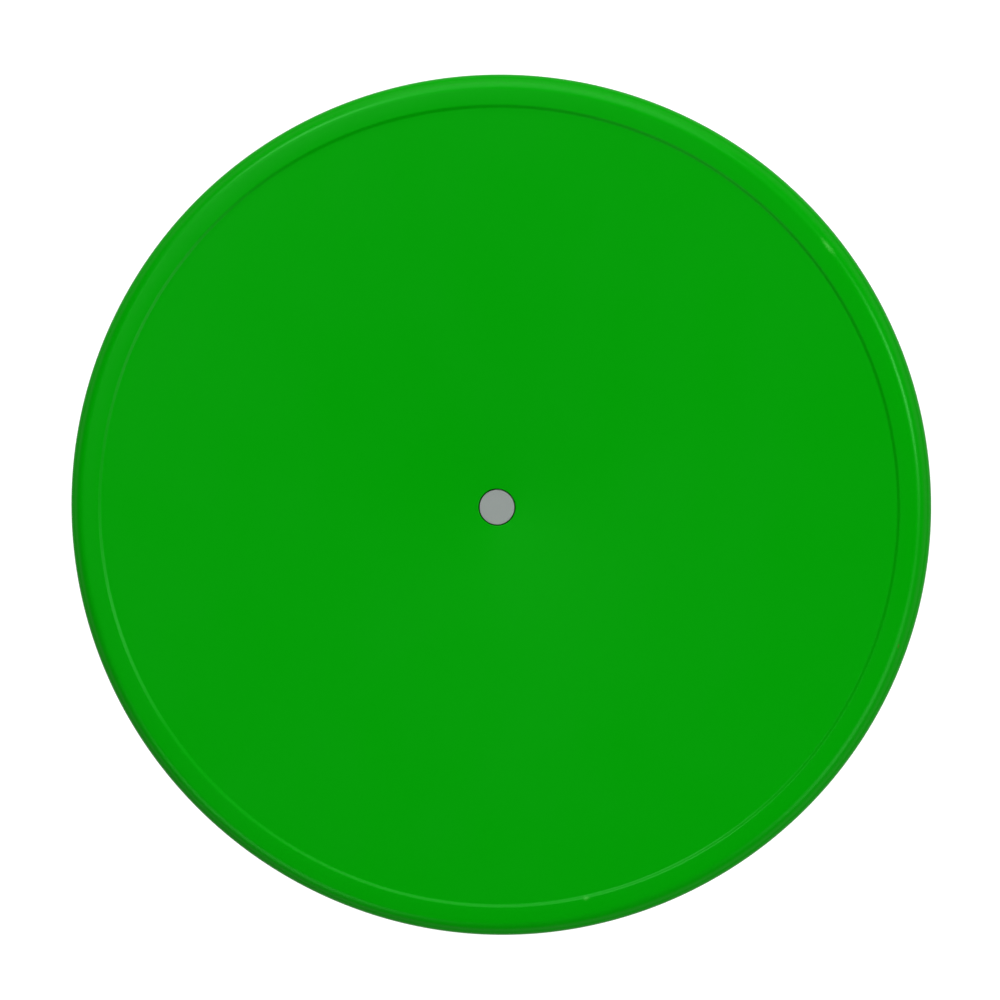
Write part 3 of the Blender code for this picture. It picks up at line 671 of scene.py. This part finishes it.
# %% The tree that sets pieces out round the seat
def make_round_tree():
    tree, entry, leave = new_group(
        "placed_round",
        "GeometryNodeTree",
        [
            ("Base", "Geometry", None),
            ("Piece", "Object", None),
            ("Count", "Int", 8),
            ("Radius", "Float", 0.4),
            ("Start", "Float", 0.0),
            ("Height", "Float", 0.0),
            ("Material", "Material", None),
        ],
        [("Geometry", "Geometry", None)],
    )
    circle = add_node(tree, "GeometryNodeMeshCircle", {
        "Vertices": entry["Count"], "Radius": entry["Radius"],
    })
    index = tree.nodes.new("GeometryNodeInputIndex").outputs[0]
    angle = maths(tree, "MULTIPLY", maths(tree, "DIVIDE", index, entry["Count"]), math.tau)
    outwards = add_node(tree, "ShaderNodeCombineXYZ", {2: angle})
    source = add_node(tree, "GeometryNodeObjectInfo", {"Object": entry["Piece"]})
    copies = add_node(tree, "GeometryNodeInstanceOnPoints", {
        "Points": circle.outputs[0],
        "Instance": source.outputs["Geometry"],
        "Rotation": outwards.outputs[0],
    })
    start = add_node(tree, "ShaderNodeCombineXYZ", {2: entry["Start"]})
    lift = add_node(tree, "ShaderNodeCombineXYZ", {2: entry["Height"]})
    moved = add_node(tree, "GeometryNodeTransform", {
        "Geometry": copies.outputs[0], "Translation": lift.outputs[0], "Rotation": start.outputs[0],
    })
    real = add_node(tree, "GeometryNodeRealizeInstances", {0: moved.outputs[0]})
    dressed = add_node(tree, "GeometryNodeSetMaterial", {
        "Geometry": real.outputs[0], "Material": entry["Material"],
    })
    feed(tree, leave["Geometry"], dressed.outputs[0])
    return tree


PLACED_ROUND = make_round_tree()


def set_round(name, source, count, radius, start, material, height=0.0):
    """Copies of a source piece round the seat, as one piece. The source is used up."""
    values = {"Piece": source, "Count": count, "Radius": radius, "Start": start, "Height": height}
    piece = run_tree(name, PLACED_ROUND, bpy.data.meshes.new("base"), values, material)
    bpy.data.objects.remove(source)
    return piece


# %% [markdown]
# An outline is a list of points from the axis outwards. Its round stretches are arcs, and the step down to
# the panel is a soft S. The last helper here turns an outline into a piece.

# %% Outlines, and turning them
SEAT_OVAL = 0.0007
SEAT_OVAL_DIRECTION = math.radians(18)
SEAT_RIPPLE = -0.0004


def arc(centre, radius, start, end, steps, height=None):
    """Points on an arc, or an ellipse where height gives its half height. Angles are in degrees."""
    points = []
    for step in range(steps + 1):
        angle = math.radians(start + (end - start) * step / steps)
        across = centre[0] + radius * math.cos(angle)
        points.append((across, centre[1] + (height or radius) * math.sin(angle)))
    return points


def soft_step(start, end, steps):
    """Points on an S-shaped slope between two levels."""
    points = []
    for step in range(steps + 1):
        share = step / steps
        rise = (1 - math.cos(math.pi * share)) / 2
        points.append((start[0] + (end[0] - start[0]) * share, start[1] + (end[1] - start[1]) * rise))
    return points


def outline_mesh(points, closed=True):
    """An outline as a chain of vertices in the XZ plane."""
    ring = points + points[:1] if closed else points
    mesh = bpy.data.meshes.new("outline")
    mesh.from_pydata([(x, 0.0, z) for x, z in ring], [], [])
    return mesh


def turned(name, points, steps, material, oval=0.0, ripple=0.0, closed=True):
    """Spins an outline about Z. An open outline has both its ends on the axis."""
    base = outline_mesh(points, closed)
    values = {
        "Outline Points": len(base.vertices),
        "Steps": steps,
        "Oval": oval,
        "Oval Direction": SEAT_OVAL_DIRECTION,
        "Ripple": ripple,
    }
    return run_tree(name, TURNING, base, values, material)


# %% [markdown]
# ### The seat shell
#
# From the middle outwards: a ledge for the hub bolt, the hole with its rounded edge, the flat panel, a soft
# step up to the rim's flat band, the rounded nose, and a near-upright wall down to the joint line. The
# outline turns back inside at the wall's thickness, so the shell is a real shell.

# %% Seat shell
SHELL_STEPS = 360


def seat_outline():
    flat_outer = MEAN_RADIUS - NOSE_WIDTH
    flat_inner = flat_outer - RIM_FLAT_WIDTH
    panel_edge = flat_inner - STEP_WIDTH
    nose = (flat_outer, RIM_TOP - NOSE_HEIGHT)
    parting = PARTING_HEIGHT + GAP / 2
    underside = PANEL_TOP - PANEL_THICKNESS
    points = [(BOLT_HOLE_RADIUS, LEDGE_BOTTOM), (BOLT_HOLE_RADIUS, LEDGE_TOP), (HOLE_RADIUS, LEDGE_TOP)]
    hole_edge = (HOLE_RADIUS + HOLE_EDGE_ROUND, PANEL_TOP - HOLE_EDGE_ROUND)
    points += arc(hole_edge, HOLE_EDGE_ROUND, 180, 90, 8)
    points += soft_step((panel_edge, PANEL_TOP), (flat_inner, RIM_TOP), 12)
    points += arc(nose, NOSE_WIDTH, 90, 0, 32, height=NOSE_HEIGHT)
    points += arc((MEAN_RADIUS - SEAM_ROUND, parting + SEAM_ROUND), SEAM_ROUND, 0, -90, 5)
    points += [(MEAN_RADIUS - WALL, parting)]
    points += arc(nose, NOSE_WIDTH - WALL, 0, 90, 16, height=NOSE_HEIGHT - WALL)
    points += [(flat_inner + WALL, RIM_TOP - WALL), (panel_edge + WALL, underside)]
    points += [(COLLAR_RADIUS, underside), (COLLAR_RADIUS, LEDGE_BOTTOM)]
    return points


seat_shell = turned("green_seat_shell", seat_outline(), SHELL_STEPS, SEAT_GREEN, SEAT_OVAL, SEAT_RIPPLE)
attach(seat_shell, "seat")
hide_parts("seat_shell")
reach = max(corner.co.x for corner in seat_shell.data.vertices)
print("seat shell:", triangles(seat_shell), "triangles, reach", round(reach, 4), "m")

# %% [markdown]
# ### The base shell
#
# The base is turned too, then cut: a notch through the foot at each folding ring, the room inside, and the
# holes. Booleans with the exact solver do this, as in CAD, because the notch's walls meet round surfaces
# at odd lines that would be slow to draw by hand.

# %% Helpers for cutting
RING_PLACES = [math.tau * index / 4 for index in range(4)]
SCREW_PLACES = [math.tau * (index + 0.5) / 8 for index in range(8)]
SCREW_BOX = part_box("shell_screw_1")
SCREW_CIRCLE = ((SCREW_BOX[0] + SCREW_BOX[1]) / 2).xy.length


def box_mesh(low, high, bevel=0.0):
    shape = bmesh.new()
    bmesh.ops.create_cube(shape, size=1.0)
    for corner in shape.verts:
        for axis in range(3):
            corner.co[axis] = low[axis] if corner.co[axis] < 0 else high[axis]
    if bevel:
        bmesh.ops.bevel(shape, geom=shape.edges, offset=bevel, segments=4, profile=0.5, affect="EDGES")
    mesh = bpy.data.meshes.new("box")
    shape.to_mesh(mesh)
    shape.free()
    return mesh


def peg_mesh(radius, bottom, top, sides=32):
    shape = bmesh.new()
    bmesh.ops.create_cone(
        shape, cap_ends=True, segments=sides, radius1=radius, radius2=radius, depth=top - bottom
    )
    bmesh.ops.translate(shape, verts=shape.verts, vec=(0, 0, (top + bottom) / 2))
    mesh = bpy.data.meshes.new("peg")
    shape.to_mesh(mesh)
    shape.free()
    return mesh


def turned_copy(mesh, angle, at=(0, 0, 0)):
    """A cutter made from a mesh, turned about Z and moved."""
    cutter = show("cutter", mesh)
    cutter.rotation_euler.z = angle
    cutter.location = at
    return cutter


def boolean(piece, tools, operation="DIFFERENCE"):
    """Cuts or joins tools, keeps the result in the piece's mesh and removes the tools."""
    for tool in tools:
        change = piece.modifiers.new("change", "BOOLEAN")
        change.operation = operation
        change.object = tool
    seen = piece.evaluated_get(bpy.context.evaluated_depsgraph_get())
    material = piece.data.materials[0] if piece.data.materials else None
    mesh = bpy.data.meshes.new_from_object(seen)
    piece.modifiers.clear()
    piece.data = mesh
    tidy_mesh(mesh)
    mesh.materials.clear()
    if material:
        mesh.materials.append(material)
    for tool in tools:
        bpy.data.objects.remove(tool)


# %% [markdown]
# The outline gives only the outside, from the ring round the hub nut over the foot to the lip that sits
# inside the seat shell's wall. The room inside comes out later, as a cutter.

# %% Outline of the base shell
BASE_STEPS = 240
LIP_OUTER = SEAT_RADIUS - WALL - GAP
LIP_INNER = LIP_OUTER - 3.2 * MM
LIP_RISE = 5 * MM
RIB_CIRCLE = (56 * MM, 60 * MM, 15 * MM)  # inner radius, outer radius, bottom
UPPER_FOOT_ROUND = 2 * MM
LOWER_FOOT_ROUND = 1.5 * MM


def foot_wall(height):
    return FOOT_INNER - FOOT_SLOPE * height / RECESS_DEPTH


def base_outline():
    """The solid outer shape up to the lip, with the ring round the hub nut."""
    inner, outer, bottom = RIB_CIRCLE
    parting = PARTING_HEIGHT - GAP / 2
    lip = LIP_OUTER - OUTLINE_SLACK
    lip_top = PARTING_HEIGHT + LIP_RISE
    upper = (foot_wall(RECESS_DEPTH) - UPPER_FOOT_ROUND, RECESS_DEPTH - UPPER_FOOT_ROUND)
    lower = (FOOT_INNER + LOWER_FOOT_ROUND, LOWER_FOOT_ROUND)
    points = [(BOLT_HOLE_RADIUS, RECESS_DEPTH), (inner, RECESS_DEPTH)]
    points += [(inner, bottom), (outer, bottom), (outer, RECESS_DEPTH)]
    points += arc(upper, UPPER_FOOT_ROUND, 90, 15, 4)
    points += arc(lower, LOWER_FOOT_ROUND, 195, 270, 5)
    points += arc((FOOT_OUTER - OUTLINE_SLACK, FOOT_ROUND), FOOT_ROUND, -90, 0, 14)
    points += arc((MEAN_RADIUS - SEAM_ROUND, parting - SEAM_ROUND), SEAM_ROUND, 0, 90, 5)
    points += [(lip, parting), (lip, lip_top), (BOLT_HOLE_RADIUS, lip_top)]
    return points


print("base outline:", len(base_outline()), "points")

# %% [markdown]
# Three cutters make the rest: blocks for the notches, a turned solid for the room over the floor, and one
# for the room inside the foot. The second leaves out the notches, with a wall's thickness round each.

# %% Notches, and the room inside
NOTCH_HALF_WIDTH = 42 * MM


def ring_notches(extra, top, bevel):
    low = (foot_wall(RECESS_DEPTH) - 4 * MM, -NOTCH_HALF_WIDTH - extra, -6 * MM)
    high = (SEAT_RADIUS + 6 * MM, NOTCH_HALF_WIDTH + extra, top)
    return [turned_copy(box_mesh(low, high, bevel), angle) for angle in RING_PLACES]


def floor_space():
    top = PARTING_HEIGHT + 10 * MM
    wall = SEAT_RADIUS - WALL - OUTLINE_SLACK
    lip = LIP_INNER - OUTLINE_SLACK
    points = [(0, FLOOR_TOP), (wall, FLOOR_TOP), (lip, FLOOR_TOP + LIP_RISE), (lip, top), (0, top)]
    return turned("floor_space", points, BASE_STEPS, BASE_GREEN, closed=False)


def foot_space():
    inner_round = FOOT_ROUND - WALL
    outer = FOOT_OUTER - OUTLINE_SLACK
    top = FLOOR_TOP + 1 * MM
    points = [(foot_wall(RECESS_DEPTH) + WALL, top), (foot_wall(WALL) + WALL, WALL)]
    points += arc((outer, FOOT_ROUND), inner_round, -90, 0, 8)
    points += [(outer + inner_round, top)]
    space = turned("foot_space", points, BASE_STEPS, BASE_GREEN)
    boolean(space, ring_notches(WALL, top + 1 * MM, 0))
    return space


# %% [markdown]
# The floor has holes for the screws and the strap bolts, and four drains go through the foot. Twelve ribs
# stiffen the floor from below. They end just inside the ring round the nut and in the foot's wall.

# %% Holes and ribs
SCREW_HOLE_RADIUS = 2.8 * MM
BOLT_HOLE_IN_FLOOR = 4.3 * MM
DRAIN_RADIUS = 4 * MM
DRAIN_DEPTH = 8 * MM
RIB_COUNT = 12
RIB_THICKNESS = 4 * MM
RIB_DEPTH = 8 * MM
MOULD_OVERLAP = 1 * MM  # how far a rib runs into what it grows from


def base_holes():
    """Pegs for the screws, the strap bolts and the drains."""
    pegs = []
    for angle in SCREW_PLACES:
        pegs.append((SCREW_CIRCLE, angle, SCREW_HOLE_RADIUS, PARTING_HEIGHT))
    for name in ("strap_bolt_1_inner", "strap_bolt_1_outer"):
        low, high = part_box(name)
        for angle in RING_PLACES:
            pegs.append(((low.x + high.x) / 2, angle, BOLT_HOLE_IN_FLOOR, PARTING_HEIGHT))
    for angle in RING_PLACES:
        pegs.append(((FOOT_INNER + FOOT_OUTER) / 2, angle + math.pi / 4, DRAIN_RADIUS, DRAIN_DEPTH))
    return [
        turned_copy(peg_mesh(size, -1 * MM, top), 0, (radius * math.cos(angle), radius * math.sin(angle), 0))
        for radius, angle, size, top in pegs
    ]


def floor_ribs():
    """Ribs under the floor, from the ring round the nut to the foot."""
    start = RIB_CIRCLE[1] - 2 * MOULD_OVERLAP
    end = foot_wall(RECESS_DEPTH - RIB_DEPTH) + MOULD_OVERLAP
    low = (0, -RIB_THICKNESS / 2, RECESS_DEPTH - RIB_DEPTH)
    high = (end - start, RIB_THICKNESS / 2, RECESS_DEPTH + MOULD_OVERLAP)
    rib = show("rib", box_mesh(low, high))
    return set_round("ribs", rib, RIB_COUNT, start, math.pi / RIB_COUNT, BASE_GREEN)


# %% [markdown]
# The ribs are joined on first, so the notches cut them too. The notches get rounded edges, as a mould has.
# The room inside and the holes come last, with plain edges.

# %% Base shell
base_shell = turned("green_base_shell", base_outline(), BASE_STEPS, BASE_GREEN, SEAT_OVAL, SEAT_RIPPLE)
boolean(base_shell, [floor_ribs()], "UNION")
boolean(base_shell, ring_notches(0, RECESS_DEPTH, 2 * MM))
boolean(base_shell, [floor_space(), foot_space()])
boolean(base_shell, base_holes())
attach(base_shell, "seat")
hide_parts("base_shell")
print("base shell:", triangles(base_shell), "triangles")

# %% [markdown]
# ### The cap
#
# A flat disc with a small rounded edge and a skirt that grips the black cup.

# %% Cap
CAP_THICKNESS = 3 * MM
CAP_WALL = 1.8 * MM
CAP_EDGE_ROUND = 0.7 * MM


def cap_outline():
    skirt = CAP_RADIUS - CAP_WALL
    inside = CAP_TOP - CAP_THICKNESS
    points = [(0, CAP_TOP), (CAP_RADIUS - 4 * MM, CAP_TOP)]
    points += arc((CAP_RADIUS - CAP_EDGE_ROUND, CAP_TOP - CAP_EDGE_ROUND), CAP_EDGE_ROUND, 90, 0, 6)
    points += [(CAP_RADIUS, CAP_SKIRT_BOTTOM), (skirt, CAP_SKIRT_BOTTOM), (skirt, inside), (0, inside)]
    return points


cap = turned("grey_hub_cap", cap_outline(), 128, CAP_GREY, closed=False)
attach(cap, "cap")
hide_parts("hub_cap")
print("cap:", triangles(cap), "triangles")

# %% [markdown]
# ## Steel fittings
#
# Under the rim, four rings of round bar fold out to take the ropes. Their straight side turns in the
# saddle of a bent strap, and two bolts hold each strap. A ring is bar bent along a path, so a third tree
# sweeps a circle along the path. The path is flat, with tight corners at the straight side and a round bow.

# %% The tree that sweeps a bar along a path
def make_bar_tree():
    tree, entry, leave = new_group(
        "bent_bar",
        "GeometryNodeTree",
        [
            ("Path", "Geometry", None),
            ("Bar Radius", "Float", 0.005),
            ("Sides", "Int", 24),
            ("Material", "Material", None),
        ],
        [("Geometry", "Geometry", None)],
    )
    path = add_node(tree, "GeometryNodeMeshToCurve", {0: entry["Path"]})
    section = add_node(tree, "GeometryNodeCurvePrimitiveCircle", {
        "Resolution": entry["Sides"], "Radius": entry["Bar Radius"],
    })
    swept = add_node(tree, "GeometryNodeCurveToMesh", {
        "Curve": path.outputs[0], "Profile Curve": section.outputs[0],
    })
    real = add_node(tree, "GeometryNodeRealizeInstances", {0: swept.outputs[0]})
    dressed = add_node(tree, "GeometryNodeSetMaterial", {
        "Geometry": real.outputs[0], "Material": entry["Material"],
    })
    feed(tree, leave["Geometry"], dressed.outputs[0])
    return tree


BENT_BAR = make_bar_tree()

# %% [markdown]
# The first ring's hinge is on the X axis, so its place gives the radius and the height for all four. A ring
# at rest lies folded under the seat and leans down a little, until its bow nearly touches the ground.

# %% Hanging rings
BAR_RADIUS = 5 * MM
RING_HALF_WIDTH = 30 * MM
RING_REACH = 75 * MM
RING_CORNER = 10 * MM
JOINTS = {joint["name"]: joint for joint in frame["record"]["behaviour"]["joints"]}
HINGE_RADIUS, _, HINGE_HEIGHT = JOINTS["ring_1_fold"]["pos_m"]
RING_TILT = math.asin((HINGE_HEIGHT - BAR_RADIUS - GAP) / RING_REACH)


def ring_path():
    """The middle of the bar, flat, with the hinge side on the Y axis and the bow towards -X."""
    half = RING_HALF_WIDTH
    corner = RING_CORNER
    path = arc((-corner, half - corner), corner, 0, 90, 10)
    path += arc((half - RING_REACH, 0), half, 90, 270, 48)
    path += arc((-corner, corner - half), corner, 270, 360, 10)
    return path


def hanging_ring(index):
    number = index + 1
    angle = RING_PLACES[index]
    place = (
        Matrix.Rotation(angle, 4, "Z")
        @ Matrix.Translation((HINGE_RADIUS, 0, HINGE_HEIGHT))
        @ Matrix.Rotation(-RING_TILT, 4, "Y")
    )
    corners = [place @ Vector((x, y, 0)) for x, y in ring_path()]
    count = len(corners)
    mesh = bpy.data.meshes.new("ring_path")
    mesh.from_pydata(corners, [(i, (i + 1) % count) for i in range(count)], [])
    values = {"Bar Radius": BAR_RADIUS, "Sides": 24}
    ring = run_tree(f"steel_ring_{number}", BENT_BAR, mesh, values, RING_STEEL)
    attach(ring, f"ring_{number}")
    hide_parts(f"hanging_ring_{number}")
    return ring


rings = [hanging_ring(index) for index in range(4)]
print("ring:", triangles(rings[0]), "triangles each")

# %% [markdown]
# ### Straps
#
# A strap is bent from flat bar: a saddle under the ring's side, and a foot each way. Its outline is drawn
# with the bends as arcs and pushed out to the strap's width. The edges get a small bevel, as cut bar has
# after tumbling.

# %% Straps
STRAP_THICKNESS = 4 * MM
STRAP_WIDTH = 34 * MM
STRAP_INNER = BAR_RADIUS + 0.5 * MM
STRAP_OUTER = STRAP_INNER + STRAP_THICKNESS
BEND = 1.5 * MM
STRAP_BEVEL = 0.5 * MM


def strap_outline():
    """Heights are from the hinge's axis."""
    top = RECESS_DEPTH - GAP - HINGE_HEIGHT
    foot = top - STRAP_THICKNESS
    low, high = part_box("ring_strap_1")
    half = (high.x - low.x) / 2
    points = [(-half, top), (-half, foot)]
    points += arc((-STRAP_OUTER - BEND, foot - BEND), BEND, 90, 0, 5)
    points += arc((0, 0), STRAP_OUTER, 180, 360, 28)
    points += arc((STRAP_OUTER + BEND, foot - BEND), BEND, 180, 90, 5)
    points += [(half, foot), (half, top)]
    points += [(STRAP_INNER, top)]
    points += arc((0, 0), STRAP_INNER, 360, 180, 28)
    points += [(-STRAP_INNER, top)]
    return points


def pushed_out(name, points, width, bevel):
    """A flat outline in XZ, pushed out along Y and bevelled along its sharp edges."""
    shape = bmesh.new()
    corners = [shape.verts.new((x, -width / 2, z)) for x, z in points]
    side = shape.faces.new(corners)
    made = bmesh.ops.extrude_face_region(shape, geom=[side])
    far = [item for item in made["geom"] if isinstance(item, bmesh.types.BMVert)]
    bmesh.ops.translate(shape, verts=far, vec=(0, width, 0))
    bmesh.ops.recalc_face_normals(shape, faces=shape.faces)
    square = math.radians(60)
    sharp = [edge for edge in shape.edges if edge.is_manifold and edge.calc_face_angle() > square]
    bmesh.ops.bevel(shape, geom=sharp, offset=bevel, segments=3, profile=0.5, affect="EDGES")
    mesh = bpy.data.meshes.new(name)
    shape.to_mesh(mesh)
    shape.free()
    return mesh


strap = show("strap", pushed_out("strap", strap_outline(), STRAP_WIDTH, STRAP_BEVEL))
straps = set_round("steel_straps", strap, 4, HINGE_RADIUS, 0.0, GALVANISED, HINGE_HEIGHT)
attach(straps, "seat")
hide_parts(*[f"ring_strap_{number}" for number in range(1, 5)])
print("straps:", triangles(straps), "triangles")

# %% [markdown]
# ### Bolts, screws and the hub nut
#
# A hexagon head is a prism whose corners are turned off by a cone, so it is cut here the same way: the
# prism is intersected with a turned blank, whose chamfer only touches the corners.

# %% Hexagon heads
CORNER_CHAMFER = 0.16  # as a share of the head's radius over its corners
CHAMFER_RISE = 0.55  # about 30 degrees


def turned_blank(radius, bottom, top, chamfer, chamfer_top):
    rise = chamfer * CHAMFER_RISE
    points = [(0, bottom), (radius - chamfer, bottom), (radius, bottom + rise)]
    points += [(radius, top - rise), (radius - chamfer, top)] if chamfer_top else [(radius, top)]
    points += [(0, top)]
    return turned("blank", points, 48, ZINC_PLATED, closed=False)


def hexagon_head(name, flats, bottom, top, chamfer_top):
    """A hexagon prism across its flats, chamfered at the bottom, and at the top too if asked."""
    corner = flats / math.sqrt(3)
    head = show(name, peg_mesh(corner, bottom, top, sides=6))
    skin = 0.01 * MM
    chamfer = corner * CORNER_CHAMFER
    blank = turned_blank(corner * 1.001, bottom - skin, top + skin, chamfer, chamfer_top)
    boolean(head, [blank], "INTERSECT")
    return head


# %% [markdown]
# A strap bolt is such a head with a shank. Its heights come from the CAD node's box.

# %% Strap bolts
BOLT_FLATS = 13 * MM
BOLT_RADIUS = 4 * MM


def strap_bolt(name):
    """One bolt on the Z axis, and the radius of the circle that it belongs on."""
    low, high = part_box(f"strap_bolt_1_{name}")
    seat = RECESS_DEPTH - STRAP_THICKNESS - 2 * GAP
    bolt = hexagon_head("bolt", BOLT_FLATS, low.z, seat, False)
    shank = show("shank", peg_mesh(BOLT_RADIUS, seat - 1 * MM, high.z))
    boolean(bolt, [shank], "UNION")
    return bolt, (low.x + high.x) / 2


for name in ("inner", "outer"):
    bolt, radius = strap_bolt(name)
    bolts = set_round(f"{name}_strap_bolts", bolt, 4, radius, 0.0, ZINC_PLATED)
    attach(bolts, "seat")
    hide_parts(*[f"strap_bolt_{number}_{name}" for number in range(1, 5)])
    print(name, "bolts:", triangles(bolts), "triangles")

# %% [markdown]
# The eight shell screws have a pan head with a cross recess, cut by two thin blades.

# %% Shell screws
SCREW_COUNT = 8
SCREW_HEAD = (5 * MM, 3.5 * MM)  # radius, height
SCREW_SHANK = (2.5 * MM, 21 * MM)  # radius, length
CROSS_HALF = (2.6 * MM, 0.5 * MM)  # half length and half width of a blade
CROSS_DEPTH = 1.6 * MM


def pan_head_screw():
    """A screw with its seat at 0, its head below and its shank above."""
    head, height = SCREW_HEAD
    shank, length = SCREW_SHANK
    flat = head * 0.45
    points = [(0, -height), (flat, -height)]
    points += arc((flat, -height * 0.35), head - flat, -90, 0, 8, height=height * 0.65)
    points += [(head, 0), (shank, 0), (shank, length - shank), (0, length)]
    screw = turned("screw", points, 40, ZINC_PLATED, closed=False)
    half_length, half_width = CROSS_HALF
    low = (-half_length, -half_width, -height - 1 * MM)
    high = (half_length, half_width, -height + CROSS_DEPTH)
    boolean(screw, [turned_copy(box_mesh(low, high), angle) for angle in (0.0, math.pi / 2)])
    return screw


screws = set_round(
    "shell_screws",
    pan_head_screw(),
    SCREW_COUNT,
    SCREW_CIRCLE,
    math.pi / SCREW_COUNT,
    ZINC_PLATED,
    RECESS_DEPTH - GAP,
)
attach(screws, "seat")
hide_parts(*[f"shell_screw_{number}" for number in range(1, SCREW_COUNT + 1)])
print("screws:", triangles(screws), "triangles")

# %% [markdown]
# The nut on the hub bolt is chamfered at both ends, and its bore clears the thread a little.

# %% Hub nut
NUT_FLATS = 24 * MM
NUT_BORE_RADIUS = 8.3 * MM
nut_low, nut_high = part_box("hub_nut")
hub_nut = hexagon_head("chamfered_hub_nut", NUT_FLATS, nut_low.z, nut_high.z, True)
nut_bore = peg_mesh(NUT_BORE_RADIUS, nut_low.z - 1 * MM, nut_high.z + 1 * MM, sides=48)
boolean(hub_nut, [show("bore", nut_bore)])
hub_nut.data.materials.clear()
hub_nut.data.materials.append(ZINC_PLATED)
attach(hub_nut, "seat")
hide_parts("hub_nut")
print("hub nut:", triangles(hub_nut), "triangles")

# %% [markdown]
# ## Finishes for the CAD nodes that stay
#
# The welded frame, the strap nuts, the hub's bolt and washers and the black cup have their true shapes
# already, so they only need a better finish.

# %% Dress the CAD nodes
FINISHES = {
    "galvanised_steel": GALVANISED,
    "ring_steel": RING_STEEL,
    "zinc_plated_steel": ZINC_PLATED,
    "cap_base_black": CUP_BLACK,
}
for part in frame["record"]["subparts"]:
    look = FINISHES.get(part["material_slot"])
    if look:
        mesh = frame["nodes"][part["node"]].data
        mesh.materials.clear()
        mesh.materials.append(look)
print(len(FINISHES), "finishes on the CAD nodes")
